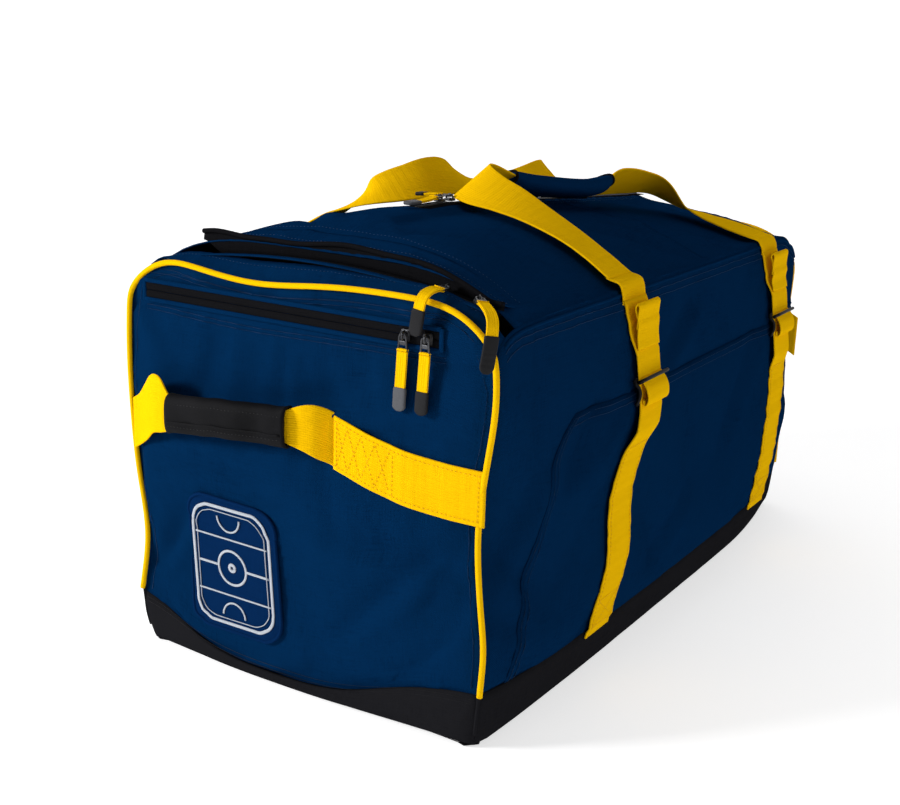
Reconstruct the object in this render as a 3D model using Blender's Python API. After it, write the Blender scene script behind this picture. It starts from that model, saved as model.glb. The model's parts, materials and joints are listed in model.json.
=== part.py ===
"""Ice hockey equipment bag: a soft box of sewn canvas panels on a black base tub.

Metres, +Z up, +Y along the bag, origin under the middle of the bag on the surface it stands on.
The near end faces -Y and carries the badge and the end zip.
"""

import math

import bmesh
import bpy
from mathutils import Matrix, Vector

LENGTH = 0.812
WIDTH = 0.404
HALF_L = LENGTH / 2
HALF_W = WIDTH / 2
SEAM_Z = 0.385
RIDGE_Z = 0.450
RIDGE_FALL = 0.066
RIDGE_FALL_FROM_Y = -0.170
RIDGE_STRAIGHT = 0.29
NEAR_TOP_Z, FAR_TOP_Z = 0.402, 0.378
NEAR_CORNER_DROP, FAR_CORNER_DROP = 0.020, 0.050
BAND_H = 0.058
SIDE_BULGE = 0.033
END_BULGE = 0.012
PANEL_T = 0.003
GAP = 0.0003

WEBBING = 0.050
WEBBING_T = 0.0022
STRAP_OFFSET = 0.0022
OVERLAY_OFFSET = 0.0008
OVERLAY_T = 0.0010
NEAR_STRAP_Y = -0.150
NEAR_STRAP_FOOT_Y = -0.215
FAR_STRAP_Y = 0.235
STRAP_TOP_Z = 0.381

LID_Y = (-0.1455, 0.2750)
LID_EDGE_X = 0.0115
LID_HINGE = (0.1985, 0.3853)
TOP_EDGE_X = 0.1985
ZIP_TAPE = 0.0110

CROSS_ZIP_Y = -0.3810
CROSS_ZIP_HALF = 0.0085
CROSS_ZIP_RADIUS = 0.90
CROSS_ZIP_TOP_Z = 0.4170
CROSS_ZIP_X = 0.188

END_ZIP_Z = 0.372
END_ZIP_X = (-0.180, 0.156)
END_ZIP_Y = HALF_L + 0.0042
END_ZIP_HALF = 0.0075

PIPING_R = 0.0045
PIPING_OUT = 0.0036

GRIP_X = (-0.122, 0.018)
GRIP_Z = 0.272
GRIP_SLOPE = 0.09
GRIP_OUT = 0.440
END_TAB_X = (0.052, HALF_W - 0.004)
END_PIVOT_Y = 0.430
END_PIVOT_Z = 0.262

SLIDER_H = 0.0030
LUG_H = 0.0034
LUG_HALF = 0.0011
PULLER_T = 0.0014

HANDLE_KNEE_X = 0.1945
HANDLE_HINGE_Z = 0.3947
HANDLE_LIFT = 0.0036
HANDLE_STEPS = 4
WRAP_Y = (-0.042, 0.100)

BUCKLE_Z = 0.290
BUCKLE_RUN = 0.036
BUCKLE_LIFT = 0.0038


def clear_scene():
    for old in list(bpy.data.objects):
        bpy.data.objects.remove(old, do_unlink=True)


def material(name, colour, roughness, metallic=0.0):
    made = bpy.data.materials.new(name)
    made.use_nodes = True
    shader = made.node_tree.nodes["Principled BSDF"]
    shader.inputs["Base Color"].default_value = (*colour, 1.0)
    shader.inputs["Roughness"].default_value = roughness
    shader.inputs["Metallic"].default_value = metallic
    return made


def add(name, bm, finish, pivot=(0.0, 0.0, 0.0)):
    """Link a piece whose vertices are in world metres, with its origin at the pivot."""
    bmesh.ops.recalc_face_normals(bm, faces=bm.faces)
    bmesh.ops.triangulate(bm, faces=bm.faces)
    bmesh.ops.translate(bm, verts=bm.verts, vec=-Vector(pivot))
    mesh = bpy.data.meshes.new(name)
    bm.to_mesh(mesh)
    bm.free()
    mesh.materials.append(finish)
    mesh.shade_smooth()
    mesh.set_sharp_from_angle(angle=math.radians(35))
    piece = bpy.data.objects.new(name, mesh)
    piece.location = pivot
    bpy.context.scene.collection.objects.link(piece)
    return piece


# ---------------------------------------------------------------- the bag's outer surface


def fullness(z):
    """How far a wall swells at height z: nothing at its foot and seam, most halfway."""
    share = min(max(z / SEAM_Z, 0.0), 1.0)
    return math.sin(math.pi * share) ** 0.7 if 0.0 < share < 1.0 else 0.0


def side_x(y, z):
    swell = 1.0 - abs(y / HALF_L) ** 4
    return HALF_W + SIDE_BULGE * swell * fullness(z)


def seam_z(y):
    """Height of the long side's upper seam; its corners drop, most of all at the far end."""
    share = abs(y / HALF_L)
    if y < 0.0:
        return SEAM_Z - NEAR_CORNER_DROP * share**24
    return SEAM_Z - FAR_CORNER_DROP * share**10


def ridge_z(y):
    """Height of the middle of the top: straight along the long zip, then down to each end."""
    level = RIDGE_Z - RIDGE_FALL * (min(max(y, RIDGE_FALL_FROM_Y), RIDGE_STRAIGHT) - RIDGE_FALL_FROM_Y)
    past = max(0.0, (abs(y) - RIDGE_STRAIGHT) / (HALF_L - RIDGE_STRAIGHT))
    end_level = NEAR_TOP_Z if y < 0.0 else FAR_TOP_Z
    return level - (level - end_level) * past**2


def top_z(x, y):
    """Height of the top: boxy at both ends and slumped towards a plain slope past the middle."""
    share = abs(y / HALF_L)
    power = 2.6 + 5.4 * share**12
    if y > 0.0:
        t = min(y / 0.25, 1.0)
        power = 2.6 - 1.2 * t * t * (3 - 2 * t) + 4.6 * share**12
    return seam_z(y) + (ridge_z(y) - seam_z(y)) * (1.0 - min(1.0, abs(x / HALF_W)) ** power)


def end_top(x, sign=-1):
    return top_z(x, sign * HALF_L)


def end_y(x, z, sign=-1):
    """Distance of an end panel from the middle of the bag, at x and height z."""
    share = (z - BAND_H) / (end_top(x, sign) - BAND_H)
    swell = math.sin(math.pi * min(max(share, 0.0), 1.0)) ** 2.2 if 0.0 < share < 1.0 else 0.0
    low = 0.006 * fullness(z) * (1.0 - min(1.0, max(share, 0.0)))
    return HALF_L + (END_BULGE * swell + low) * (1.0 - min(1.0, abs(x / HALF_W)) ** 3)


# ---------------------------------------------------------------- shapes


def spread(low, high, count):
    return [low + (high - low) * i / count for i in range(count + 1)]


def slab(us, vs, front, back):
    """A closed sheet between two grids of points, front(u, v) and back(u, v)."""
    bm = bmesh.new()
    faces = []
    for surface in (front, back):
        faces.append([[bm.verts.new(surface(u, v)) for v in vs] for u in us])
    nu, nv = len(us) - 1, len(vs) - 1
    for grid in faces:
        for i in range(nu):
            for j in range(nv):
                bm.faces.new((grid[i][j], grid[i + 1][j], grid[i + 1][j + 1], grid[i][j + 1]))
    rim = [(i, 0) for i in range(nu)] + [(nu, j) for j in range(nv)]
    rim += [(i, nv) for i in range(nu, 0, -1)] + [(0, j) for j in range(nv, 0, -1)]
    for k, (i, j) in enumerate(rim):
        m, n = rim[(k + 1) % len(rim)]
        bm.faces.new((faces[0][i][j], faces[0][m][n], faces[1][m][n], faces[1][i][j]))
    return bm


def loft(rings, closed=False):
    """Skin a row of equal closed rings of points and cap its ends, or join last to first."""
    bm = bmesh.new()
    rows = [[bm.verts.new(p) for p in ring] for ring in rings]
    count = len(rows[0])
    pairs = list(zip(rows, rows[1:]))
    if closed:
        pairs.append((rows[-1], rows[0]))
    for a, b in pairs:
        for k in range(count):
            n = (k + 1) % count
            bm.faces.new((a[k], a[n], b[n], b[k]))
    if not closed:
        bm.faces.new(rows[0])
        bm.faces.new(rows[-1])
    return bm


def prism(outline, frame, low, high):
    """Extrude an outline of (a, b) points from low to high along the frame's third axis."""
    a, b, c, origin = frame
    rings = [[origin + a * p + b * q + c * level for p, q in outline] for level in (low, high)]
    return loft(rings)


def tube(path, radius, sides=8):
    """A round tube of constant radius along a path of points."""
    rings = []
    across = None
    for i, point in enumerate(path):
        ahead = (path[min(i + 1, len(path) - 1)] - path[max(i - 1, 0)]).normalized()
        if across is None:
            across = ahead.orthogonal().normalized()
        across = (across - ahead * across.dot(ahead)).normalized()
        other = ahead.cross(across)
        turns = [2 * math.pi * k / sides for k in range(sides)]
        rings.append([point + across * math.cos(t) * radius + other * math.sin(t) * radius for t in turns])
    return loft(rings)


def smooth_path(knots, steps):
    """Catmull-Rom curve through knots, each a Vector, with steps points for each stretch."""
    points = []
    last = len(knots) - 1
    for i in range(last):
        a, b, c, d = (knots[min(max(i + k, 0), last)] for k in (-1, 0, 1, 2))
        for s in range(steps):
            t = s / steps
            square = (a * 2 - b * 5 + c * 4 - d) * t**2
            cube = (b * 3 - a - c * 3 + d) * t**3
            points.append((b * 2 + (c - a) * t + square + cube) / 2)
    points.append(knots[-1].copy())
    return points


def ribbon(path, across, thickness):
    """Webbing along a path; across holds the half-width vector at each point."""
    rings = []
    for i, point in enumerate(path):
        ahead = path[min(i + 1, len(path) - 1)] - path[max(i - 1, 0)]
        side = across[i]
        up = ahead.cross(side).normalized() * thickness / 2
        rings.append([point - side - up, point + side - up, point + side + up, point - side + up])
    return loft(rings)


# ---------------------------------------------------------------- body panels


def wall_ring(z, inset):
    """Outline of the bag at height z, moved inwards by inset, anticlockwise from above."""
    ys = spread(-HALF_L, HALF_L, 16)
    xs = spread(-HALF_W, HALF_W, 8)
    ring = []
    for y in ys[:-1]:
        ring.append((side_x(y, z) - inset, y * (1 - inset / HALF_L), z))
    for x in reversed(xs[1:]):
        ring.append((x * (1 - inset / HALF_W), end_y(x, z) - inset, z))
    for y in reversed(ys[1:]):
        ring.append((inset - side_x(y, z), y * (1 - inset / HALF_L), z))
    for x in xs[:-1]:
        ring.append((x * (1 - inset / HALF_W), inset - end_y(x, z), z))
    return ring


def base_tub(black):
    levels = [(0.0, 0.012), (0.0035, 0.0035), (0.011, 0.0), (0.032, 0.0), (BAND_H, 0.0)]
    inside = [(BAND_H, PANEL_T), (0.032, PANEL_T), (0.011, PANEL_T), (PANEL_T, 0.010)]
    rings = [wall_ring(z, inset) for z, inset in levels + inside]
    add("base_tub", loft(rings), black)


def base_board(grey):
    half_x, half_y, corner = 0.186, 0.390, 0.02
    outline = []
    for cx, cy, start in ((1, 1, 0), (-1, 1, 90), (-1, -1, 180), (1, -1, 270)):
        for step in range(4):
            turn = math.radians(start + 30 * step)
            x = cx * (half_x - corner) + corner * math.cos(turn)
            y = cy * (half_y - corner) + corner * math.sin(turn)
            outline.append((x, y))
    frame = (Vector((1, 0, 0)), Vector((0, 1, 0)), Vector((0, 0, 1)), Vector((0, 0, 0)))
    add("base_board", prism(outline, frame, PANEL_T + GAP, PANEL_T + GAP + 0.003), grey)


def side_panels(navy):
    ys = spread(-HALF_L + PANEL_T + 2 * GAP, HALF_L - PANEL_T - 2 * GAP, 18)
    vs = spread(0.0, 1.0, 9)
    for name, sign in (("side_panel_right", 1), ("side_panel_left", -1)):

        def height(y, v):
            return BAND_H + GAP + v * (seam_z(y) - GAP - BAND_H - GAP)

        def outside(y, v, sign=sign):
            return (sign * side_x(y, height(y, v)), y, height(y, v))

        def inside(y, v, sign=sign):
            return (sign * (side_x(y, height(y, v)) - PANEL_T), y, height(y, v))

        add(name, slab(ys, vs, outside, inside), navy)


def side_overlays(navy):
    """Each long side carries a second layer of cloth with a slanting front edge."""
    for name, sign in (("side_overlay_right", 1), ("side_overlay_left", -1)):

        def place(u, v):
            z = BAND_H + 0.003 + v * 0.230
            front = -0.375 + 0.065 * v + 0.035 * max(0.0, v - 0.8) ** 2 / 0.04
            return front + u * (0.372 - front), z

        def outside(u, v, sign=sign):
            y, z = place(u, v)
            return (sign * (side_x(y, z) + OVERLAY_OFFSET + OVERLAY_T), y, z)

        def inside(u, v, sign=sign):
            y, z = place(u, v)
            return (sign * (side_x(y, z) + OVERLAY_OFFSET), y, z)

        add(name, slab(spread(0, 1, 18), spread(0, 1, 9), outside, inside), navy)


def end_panels(navy):
    xs = spread(-HALF_W, HALF_W, 12)
    vs = spread(0.0, 1.0, 10)
    for name, sign in (("end_panel_near", -1), ("end_panel_far", 1)):

        def height(x, v, sign=sign):
            return BAND_H + GAP + v * (end_top(x, sign) - BAND_H - GAP)

        def outside(x, v, sign=sign, height=height):
            return (x, sign * end_y(x, height(x, v), sign), height(x, v))

        def inside(x, v, sign=sign, height=height):
            return (x, sign * (end_y(x, height(x, v), sign) - PANEL_T), height(x, v))

        add(name, slab(xs, vs, outside, inside), navy)


def top_sheet(xs, ys):
    def outside(x, y):
        return (x, y, top_z(x, y))

    def inside(x, y):
        return (x, y, top_z(x, y) - PANEL_T)

    return slab(xs, ys, outside, inside)


def top_panels(navy):
    across = [TOP_EDGE_X * math.sin(math.radians(a)) for a in range(-90, 91, 15)]
    inner_end = HALF_L - PANEL_T - 2 * GAP
    cross_near = CROSS_ZIP_Y - CROSS_ZIP_HALF - GAP
    cross_far = CROSS_ZIP_Y + CROSS_ZIP_HALF + GAP
    strip_ys = spread(-inner_end, cross_near, 2)
    add("top_strip_near", top_sheet(across, strip_ys), navy)
    near_ys = spread(cross_far, LID_Y[0] - 2 * GAP, 5)
    add("top_panel_near", top_sheet(across, near_ys), navy)
    far_ys = spread(LID_Y[1] + 2 * GAP, inner_end, 7)
    add("top_panel_far", top_sheet(across, far_ys), navy)


def lid_flaps(navy, black):
    """The two halves of the lid on either side of the long zip, with their zip tapes."""
    ys = spread(LID_Y[0], LID_Y[1], 8)
    for name, sign in (("right", 1), ("left", -1)):
        pivot = (sign * LID_HINGE[0], 0.0, LID_HINGE[1])
        shares = [math.sin(math.radians(a)) for a in range(0, 91, 15)]
        xs = [sign * (LID_EDGE_X + (TOP_EDGE_X - LID_EDGE_X) * share) for share in shares]
        add("lid_flap_" + name, top_sheet(xs, ys), navy, pivot)
        tape_xs = [sign * x for x in (2 * GAP, ZIP_TAPE / 2, ZIP_TAPE)]
        tape_ys = spread(LID_Y[0], LID_Y[1], 4)

        def outside(x, y):
            return (x, y, ridge_z(y) - 0.0002)

        def inside(x, y):
            return (x, y, ridge_z(y) - PANEL_T * 0.7)

        add("main_zip_tape_" + name, slab(tape_xs, tape_ys, outside, inside), black, pivot)


def piping(yellow):
    """Corded edge from the base band up one side, over the top and down the other."""
    for name, sign in (("piping_near", -1), ("piping_far", 1)):
        y = sign * (HALF_L + PIPING_OUT)
        side = HALF_W + PIPING_OUT
        rise = end_top(HALF_W, sign) - BAND_H - GAP
        levels = [BAND_H + GAP + rise * share for share in (0.0, 0.3, 0.6, 0.86)]
        path = [Vector((side, y, level)) for level in levels]
        for a in spread(0.0, 180.0, 26):
            turn = math.cos(math.radians(a))
            x = HALF_W * math.copysign(abs(turn) ** 0.40, turn)
            step = 0.0005
            before, after = max(-HALF_W, x - step), min(HALF_W, x + step)
            slope = (end_top(after, sign) - end_top(before, sign)) / (2 * step)
            outward = Vector((-slope, 0, 1)).normalized()
            if abs(x) > HALF_W - 1e-6:
                outward = Vector((math.copysign(1, x), 0, 0))
            path.append(Vector((x, y, end_top(x, sign))) + outward * PIPING_OUT)
        path += [Vector((-side, y, level)) for level in reversed(levels)]
        add(name, tube(path, PIPING_R), yellow)


def liners(grey):
    """The sheet behind the end pocket, and the wall that closes off the skate compartment."""
    rows = (
        ("end_pocket_liner", -0.3965, 0.180, 0.060, 0.345),
        ("skate_divider", -0.190, 0.190, 0.010, 0.375),
    )
    for name, y, half, low, high in rows:
        xs, zs = spread(-half, half, 4), spread(low, high, 4)

        def front(x, z, y=y):
            return (x, y - 0.001, z)

        def back(x, z, y=y):
            return (x, y + 0.001, z)

        add(name, slab(xs, zs, front, back), grey)


def badge(navy):
    """A rounded rectangular patch low on the near end, left of the middle."""
    half_x, half_z, corner = 0.058, 0.070, 0.018
    cx, cz = -0.072, 0.114

    def reach(v):
        edge = max(0.0, abs(v) * half_z - (half_z - corner))
        return half_x - corner + math.sqrt(max(0.0, corner**2 - edge**2))

    def place(u, v):
        return cx + u * reach(v), cz + v * half_z

    def front(u, v):
        x, z = place(u, v)
        return (x, -end_y(x, z) - 0.0036, z)

    def back(u, v):
        x, z = place(u, v)
        return (x, -end_y(x, z) - 0.0009, z)

    rows = [-1, -0.93, -0.83, -0.7, -0.35, 0, 0.35, 0.7, 0.83, 0.93, 1]
    add("badge", slab(spread(-1, 1, 6), rows, front, back), navy)


# ---------------------------------------------------------------- straps and carry handles


def strap_y(near, z):
    if not near:
        return FAR_STRAP_Y
    t = min(max((z - BAND_H) / 0.19, 0.0), 1.0)
    return NEAR_STRAP_FOOT_Y + (NEAR_STRAP_Y - NEAR_STRAP_FOOT_Y) * t * t * (3 - 2 * t)


def strap_x(y, z):
    """Strap's back face: on the panel, but straight past the buckle so that it can slide."""

    def wall(height):
        return max(side_x(y - WEBBING / 2, height), side_x(y + WEBBING / 2, height)) + STRAP_OFFSET

    low, high = BUCKLE_Z - BUCKLE_RUN, BUCKLE_Z + BUCKLE_RUN
    if low <= z <= high:
        share = (z - low) / (high - low)
        return wall(low) * (1 - share) + wall(high) * share + BUCKLE_LIFT
    past = max(low - z, z - high)
    return wall(z) + BUCKLE_LIFT * max(0.0, 1.0 - past / 0.02)


def buckle_frame(y, sign):
    """Axes of the straight run: across the strap, along it, outwards, and its middle."""
    low, high = BUCKLE_Z - BUCKLE_RUN, BUCKLE_Z + BUCKLE_RUN
    bottom = Vector((sign * strap_x(y, low), y, low))
    top = Vector((sign * strap_x(y, high), y, high))
    along = (top - bottom).normalized()
    across = Vector((0, 1, 0))
    outward = along.cross(across).normalized()
    if outward.x * sign < 0:
        outward = -outward
    return across, along, outward, (bottom + top) / 2


def carry_straps(yellow, black):
    zs = [BAND_H + 0.002 + i * 0.0203 for i in range(10)]
    zs += [BUCKLE_Z - BUCKLE_RUN + i * BUCKLE_RUN / 2 for i in range(5)]
    zs += [0.340, 0.355, 0.368, STRAP_TOP_Z]
    zs = [z for i, z in enumerate(zs) if i == 0 or z > zs[i - 1] + 0.004]
    for where, near in (("near", True), ("far", False)):
        for side, sign in (("right", 1), ("left", -1)):

            def place(z, t, near=near, sign=sign, out=0.0):
                y = strap_y(near, z)
                return (sign * (strap_x(y, z) + out), y + t * WEBBING / 2, z)

            def back(z, t, place=place):
                return place(z, t)

            def front(z, t, place=place):
                return place(z, t, out=WEBBING_T)

            add(f"strap_{where}_{side}", slab(zs, [-1, 0, 1], front, back), yellow)
            ladder_buckle(f"buckle_{where}_{side}", strap_y(near, BUCKLE_Z), sign, black)


def ladder_buckle(name, y, sign, black):
    """Frame whose outer bars pass behind the strap and whose middle bar passes in front."""
    across, along, outward, middle = buckle_frame(y, sign)
    half_w, rail, half_h = 0.0262, 0.0030, 0.0120
    front, back = WEBBING_T + GAP, -GAP
    bar = 0.0018
    rails = []
    for a0 in (-half_w - rail, half_w):
        outline = [(-half_h, back - bar), (half_h, back - bar), (half_h, back), (0.0045, front + bar)]
        outline += [(-0.0045, front + bar), (-half_h, back)]
        frame = (along, outward, across, middle)
        rails.append((outline, frame, a0, a0 + rail))
    bars = [(-half_h, -half_h + 0.0036, back - bar, back), (half_h - 0.0036, half_h, back - bar, back)]
    bars.append((-0.0019, 0.0019, front, front + bar))
    pieces = [prism(*rail_data) for rail_data in rails]
    for b0, b1, c0, c1 in bars:
        outline = [(b0, c0), (b1, c0), (b1, c1), (b0, c1)]
        pieces.append(prism(outline, (along, outward, across, middle), -half_w - 0.001, half_w + 0.001))
    joined = add(name, pieces[0], black, middle)
    for extra in pieces[1:]:
        other = add(name + "_bar", extra, black, middle)
        other.hide_render = True
        other.display_type = "WIRE"
        union = joined.modifiers.new("union", "BOOLEAN")
        union.operation = "UNION"
        union.object = other
    return joined


def on_lid(x, y, lift=HANDLE_LIFT, lean=0):
    return (x, y, top_z(x, y) + lift, lean)


def handle_run(knots):
    """Middle line and half-width vectors of a loop of webbing; a knot ends with its lean in degrees."""
    path = smooth_path([Vector(knot[:3]) for knot in knots], HANDLE_STEPS)
    across = []
    for i, point in enumerate(path):
        ahead = (path[min(i + 1, len(path) - 1)] - path[max(i - 1, 0)]).normalized()
        k = min(i // HANDLE_STEPS, len(knots) - 2)
        share = (i - k * HANDLE_STEPS) / HANDLE_STEPS
        angle = math.radians(knots[k][3] + (knots[k + 1][3] - knots[k][3]) * share)
        flat = ahead.cross(Vector((0, 0, 1))).normalized()
        if i < HANDLE_STEPS or i >= len(path) - HANDLE_STEPS:
            flat = Vector((0, math.copysign(1, flat.y), 0))
        flat = (flat - ahead * flat.dot(ahead)).normalized()
        lifted = flat.cross(ahead).normalized()
        across.append((flat * math.cos(angle) + lifted * math.sin(angle)) * WEBBING / 2)
    return path, across


def carry_handles(yellow, navy):
    """Two loops of webbing lying on the lid, flat near the knees and leaning on edge between."""
    right = [on_lid(HANDLE_KNEE_X, -0.150), on_lid(0.150, -0.151), on_lid(0.108, -0.150, 0.0060, 8)]
    right += [(0.074, -0.149, 0.4590, 26), (0.050, -0.142, 0.4665, 40), (0.038, -0.118, 0.4685, 45)]
    right += [(0.036, -0.075, 0.4640, 40), (0.038, -0.035, 0.4560, 16), (0.040, 0.030, 0.4490, 8)]
    right += [(0.040, 0.090, 0.4470, 14), (0.038, 0.140, 0.4490, 38), (0.042, 0.178, 0.4475, 42)]
    right += [(0.062, 0.210, 0.4405, 28), on_lid(0.098, 0.229, 0.0062, 10), on_lid(0.148, 0.236)]
    right += [on_lid(HANDLE_KNEE_X, 0.235)]
    path, across = handle_run(right)
    pivot = (HANDLE_KNEE_X, 0.0, HANDLE_HINGE_Z)
    add("carry_handle_right", ribbon(path, across, WEBBING_T), yellow, pivot)
    handle_wrap(path, across, navy, pivot)

    left = [on_lid(HANDLE_KNEE_X, -0.150), on_lid(0.155, -0.150), on_lid(0.128, -0.148, 0.0062, 8)]
    left += [(0.104, -0.142, 0.4535, 28), (0.082, -0.124, 0.4645, 44), (0.070, -0.092, 0.4665, 48)]
    left += [(0.068, -0.040, 0.4610, 44), (0.068, 0.030, 0.4560, 42), (0.068, 0.100, 0.4510, 42)]
    left += [(0.066, 0.160, 0.4470, 44), (0.070, 0.198, 0.4435, 42), (0.090, 0.222, 0.4330, 26)]
    left += [on_lid(0.118, 0.232, 0.0064, 10), on_lid(0.155, 0.236), on_lid(HANDLE_KNEE_X, 0.235)]
    path, across = handle_run(left)
    mirrored = [Vector((-p.x, p.y, p.z)) for p in path]
    across = [Vector((-side.x, side.y, side.z)) for side in across]
    pivot = (-HANDLE_KNEE_X, 0.0, HANDLE_HINGE_Z)
    add("carry_handle_left", ribbon(mirrored, across, WEBBING_T), yellow, pivot)


def handle_wrap(path, across, navy, pivot):
    """Padded sleeve folded round the right handle's middle, open along one edge."""
    rings = []
    for i, point in enumerate(path):
        if not WRAP_Y[0] < point.y < WRAP_Y[1]:
            continue
        side = across[i] * 1.04
        ahead = (path[i + 1] - path[i - 1]).normalized()
        normal = ahead.cross(side).normalized()
        thick, slot = 0.0062, WEBBING_T / 2 + 2 * GAP
        top = 0.96
        ring = [point + side * top - normal * thick, point - side * 0.98 - normal * thick]
        ring += [point - side * 1.08 - normal * thick * 0.45, point - side * 1.08 + normal * thick * 0.45]
        ring += [point - side * 0.98 + normal * thick, point + side * top + normal * thick]
        ring += [point + side * top + normal * slot, point - side * 1.02 + normal * slot]
        ring += [point - side * 1.02 - normal * slot, point + side * top - normal * slot]
        rings.append(ring)
    add("handle_wrap", loft(rings), navy, pivot)


# ---------------------------------------------------------------- end handles


def end_handles(yellow, black):
    for where, sign in (("near", -1), ("far", 1)):
        mirror = -1 if where == "near" else 1
        pivot = (0.0, sign * END_PIVOT_Y, END_PIVOT_Z)

        def tab_place(u, v, sign=sign, mirror=mirror, out=0.0):
            x = END_TAB_X[0] + u * (END_TAB_X[1] - END_TAB_X[0])
            z = 0.266 - 0.027 * u + v * WEBBING / 2
            return (-mirror * x, sign * (end_y(x, z, sign) + 0.0008 + out), z)

        def tab_back(u, v, tab_place=tab_place):
            return tab_place(u, v)

        def tab_front(u, v, tab_place=tab_place):
            return tab_place(u, v, out=WEBBING_T)

        add(f"end_handle_tab_{where}", slab(spread(0, 1, 8), [-1, 0, 1], tab_front, tab_back), yellow)

        knots = [(-0.186, 0.4200, 0.253, 0.0090), (-0.168, 0.4300, 0.258, 0.0130)]
        knots.append((-0.140, 0.4388, 0.2635, 0.0118))
        for x in (-0.110, -0.052, 0.006):
            knots.append((x, GRIP_OUT + 0.0006, GRIP_Z + GRIP_SLOPE * (x + 0.052), 0.0112))
        knots += [(0.027, 0.4392, 0.2786, 0.0122), (0.046, 0.4310, 0.2710, 0.0090)]
        points = smooth_path([Vector((-mirror * x, sign * y, z)) for x, y, z, w in knots], 3)
        across = []
        for i in range(len(points)):
            k = min(i // 3, len(knots) - 2)
            t = (i - 3 * k) / 3
            across.append(Vector((0, 0, knots[k][3] + (knots[k + 1][3] - knots[k][3]) * t)))
        add(f"end_handle_web_{where}", ribbon(points, across, 0.0030), yellow, pivot)
        end_grip(where, sign, mirror, black, pivot)


def end_grip(where, sign, mirror, black, pivot):
    """A sleeve of black vinyl: an oval tube with the webbing running through its slot."""
    rings = []
    sides = 12
    x0, x1 = GRIP_X
    stations = [(0.0, 1.0), (0.03, 1.06), (0.5, 1.0), (0.97, 1.06), (1.0, 1.0)]
    tall, deep = 0.0158, 0.0042
    turns = [2 * math.pi * k / sides for k in range(sides)]

    def centre(share):
        x = x0 + (x1 - x0) * share
        return Vector((-mirror * x, sign * (GRIP_OUT + 0.0006), GRIP_Z + GRIP_SLOPE * (x + 0.052)))

    for share, swell in stations:
        wide, high = 0.0095 * swell, 0.0180 * swell
        rings.append([centre(share) + Vector((0, math.cos(t) * wide, math.sin(t) * high)) for t in turns])
    for share, _ in reversed(stations):
        rings.append([centre(share) + Vector((0, math.cos(t) * deep, math.sin(t) * tall)) for t in turns])
    add(f"end_grip_{where}", loft(rings, closed=True), black, pivot)


# ---------------------------------------------------------------- zips, sliders and pulls


def cross_track_z(x):
    centre = CROSS_ZIP_TOP_Z - CROSS_ZIP_RADIUS
    return centre + math.sqrt(CROSS_ZIP_RADIUS**2 - x * x)


def zip_tapes(black, navy):
    def cross_front(x, y):
        return (x, y, cross_track_z(x))

    def cross_back(x, y):
        return (x, y, cross_track_z(x) - 0.002)

    xs = spread(-CROSS_ZIP_X, CROSS_ZIP_X, 16)
    ys = [CROSS_ZIP_Y - CROSS_ZIP_HALF, CROSS_ZIP_Y, CROSS_ZIP_Y + CROSS_ZIP_HALF]
    add("cross_zip", slab(xs, ys, cross_front, cross_back), black)

    def flap_place(x, v, out):
        y = CROSS_ZIP_Y + CROSS_ZIP_HALF + 0.0012 + v * 0.030
        ground = top_z(x, y) + 3 * GAP
        front = max(cross_track_z(x) + 0.009, ground + 0.006)
        return (x, y, front + (ground - front) * (1 - (1 - v) ** 1.5) + out)

    def flap_front(x, v):
        return flap_place(x, v, 0.0018)

    def flap_back(x, v):
        return flap_place(x, v, 0.0)

    add("cross_zip_flap", slab(spread(-0.190, 0.190, 16), spread(0, 1, 3), flap_front, flap_back), navy)

    def end_front(x, z):
        return (x, -END_ZIP_Y - 0.0014, z)

    def end_back(x, z):
        return (x, -END_ZIP_Y, z)

    zs = [END_ZIP_Z - END_ZIP_HALF, END_ZIP_Z, END_ZIP_Z + END_ZIP_HALF]
    add("end_zip", slab(spread(*END_ZIP_X, 6), zs, end_front, end_back), black)


def slider(name, at, hinge, down, out, metal):
    """Slider body with the lug that carries its pull; at is on the tape, out is away from it."""
    plate = SLIDER_H
    outline = [(-0.0045, 0.0), (0.0045, 0.0), (0.0055, 0.0012), (0.0048, plate), (LUG_HALF, plate)]
    outline += [(LUG_HALF, plate + LUG_H), (-LUG_HALF, plate + LUG_H), (-LUG_HALF, plate)]
    outline += [(-0.0048, plate), (-0.0055, 0.0012)]
    add(name, prism(outline, (hinge, out, down, at), -0.0055, 0.0055), metal, at)


def puller(name, pivot, hinge, down, out, metal):
    """Forked metal plate: its ears sit on both sides of the lug, on the hinge line."""
    ear, inner, length = 0.0042, LUG_HALF + GAP, 0.0125
    outline = [(-ear, -0.0016), (-inner, -0.0016), (-inner, 0.0062), (inner, 0.0062), (inner, -0.0016)]
    outline += [(ear, -0.0016), (ear, length), (-ear, length)]
    add(name, prism(outline, (hinge, down, out, pivot), -PULLER_T / 2, PULLER_T / 2), metal, pivot)


def tab(name, path, hinge, fabric, pivot):
    """Ribbon loop with a moulded tip, along a path that starts under the puller."""
    rings = []
    total = len(path) - 1
    for i, point in enumerate(path):
        ahead = (path[min(i + 1, total)] - path[max(i - 1, 0)]).normalized()
        normal = ahead.cross(hinge).normalized()
        tip = i / total > 0.58
        half, thick = (0.0062, 0.0018) if tip else (0.0048, 0.0011)
        if i == total:
            half = 0.0045
        side, up = hinge * half, normal * thick
        rings.append([point - side - up, point + side - up, point + side + up, point - side + up])
    add(name, loft(rings), fabric, pivot)


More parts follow.
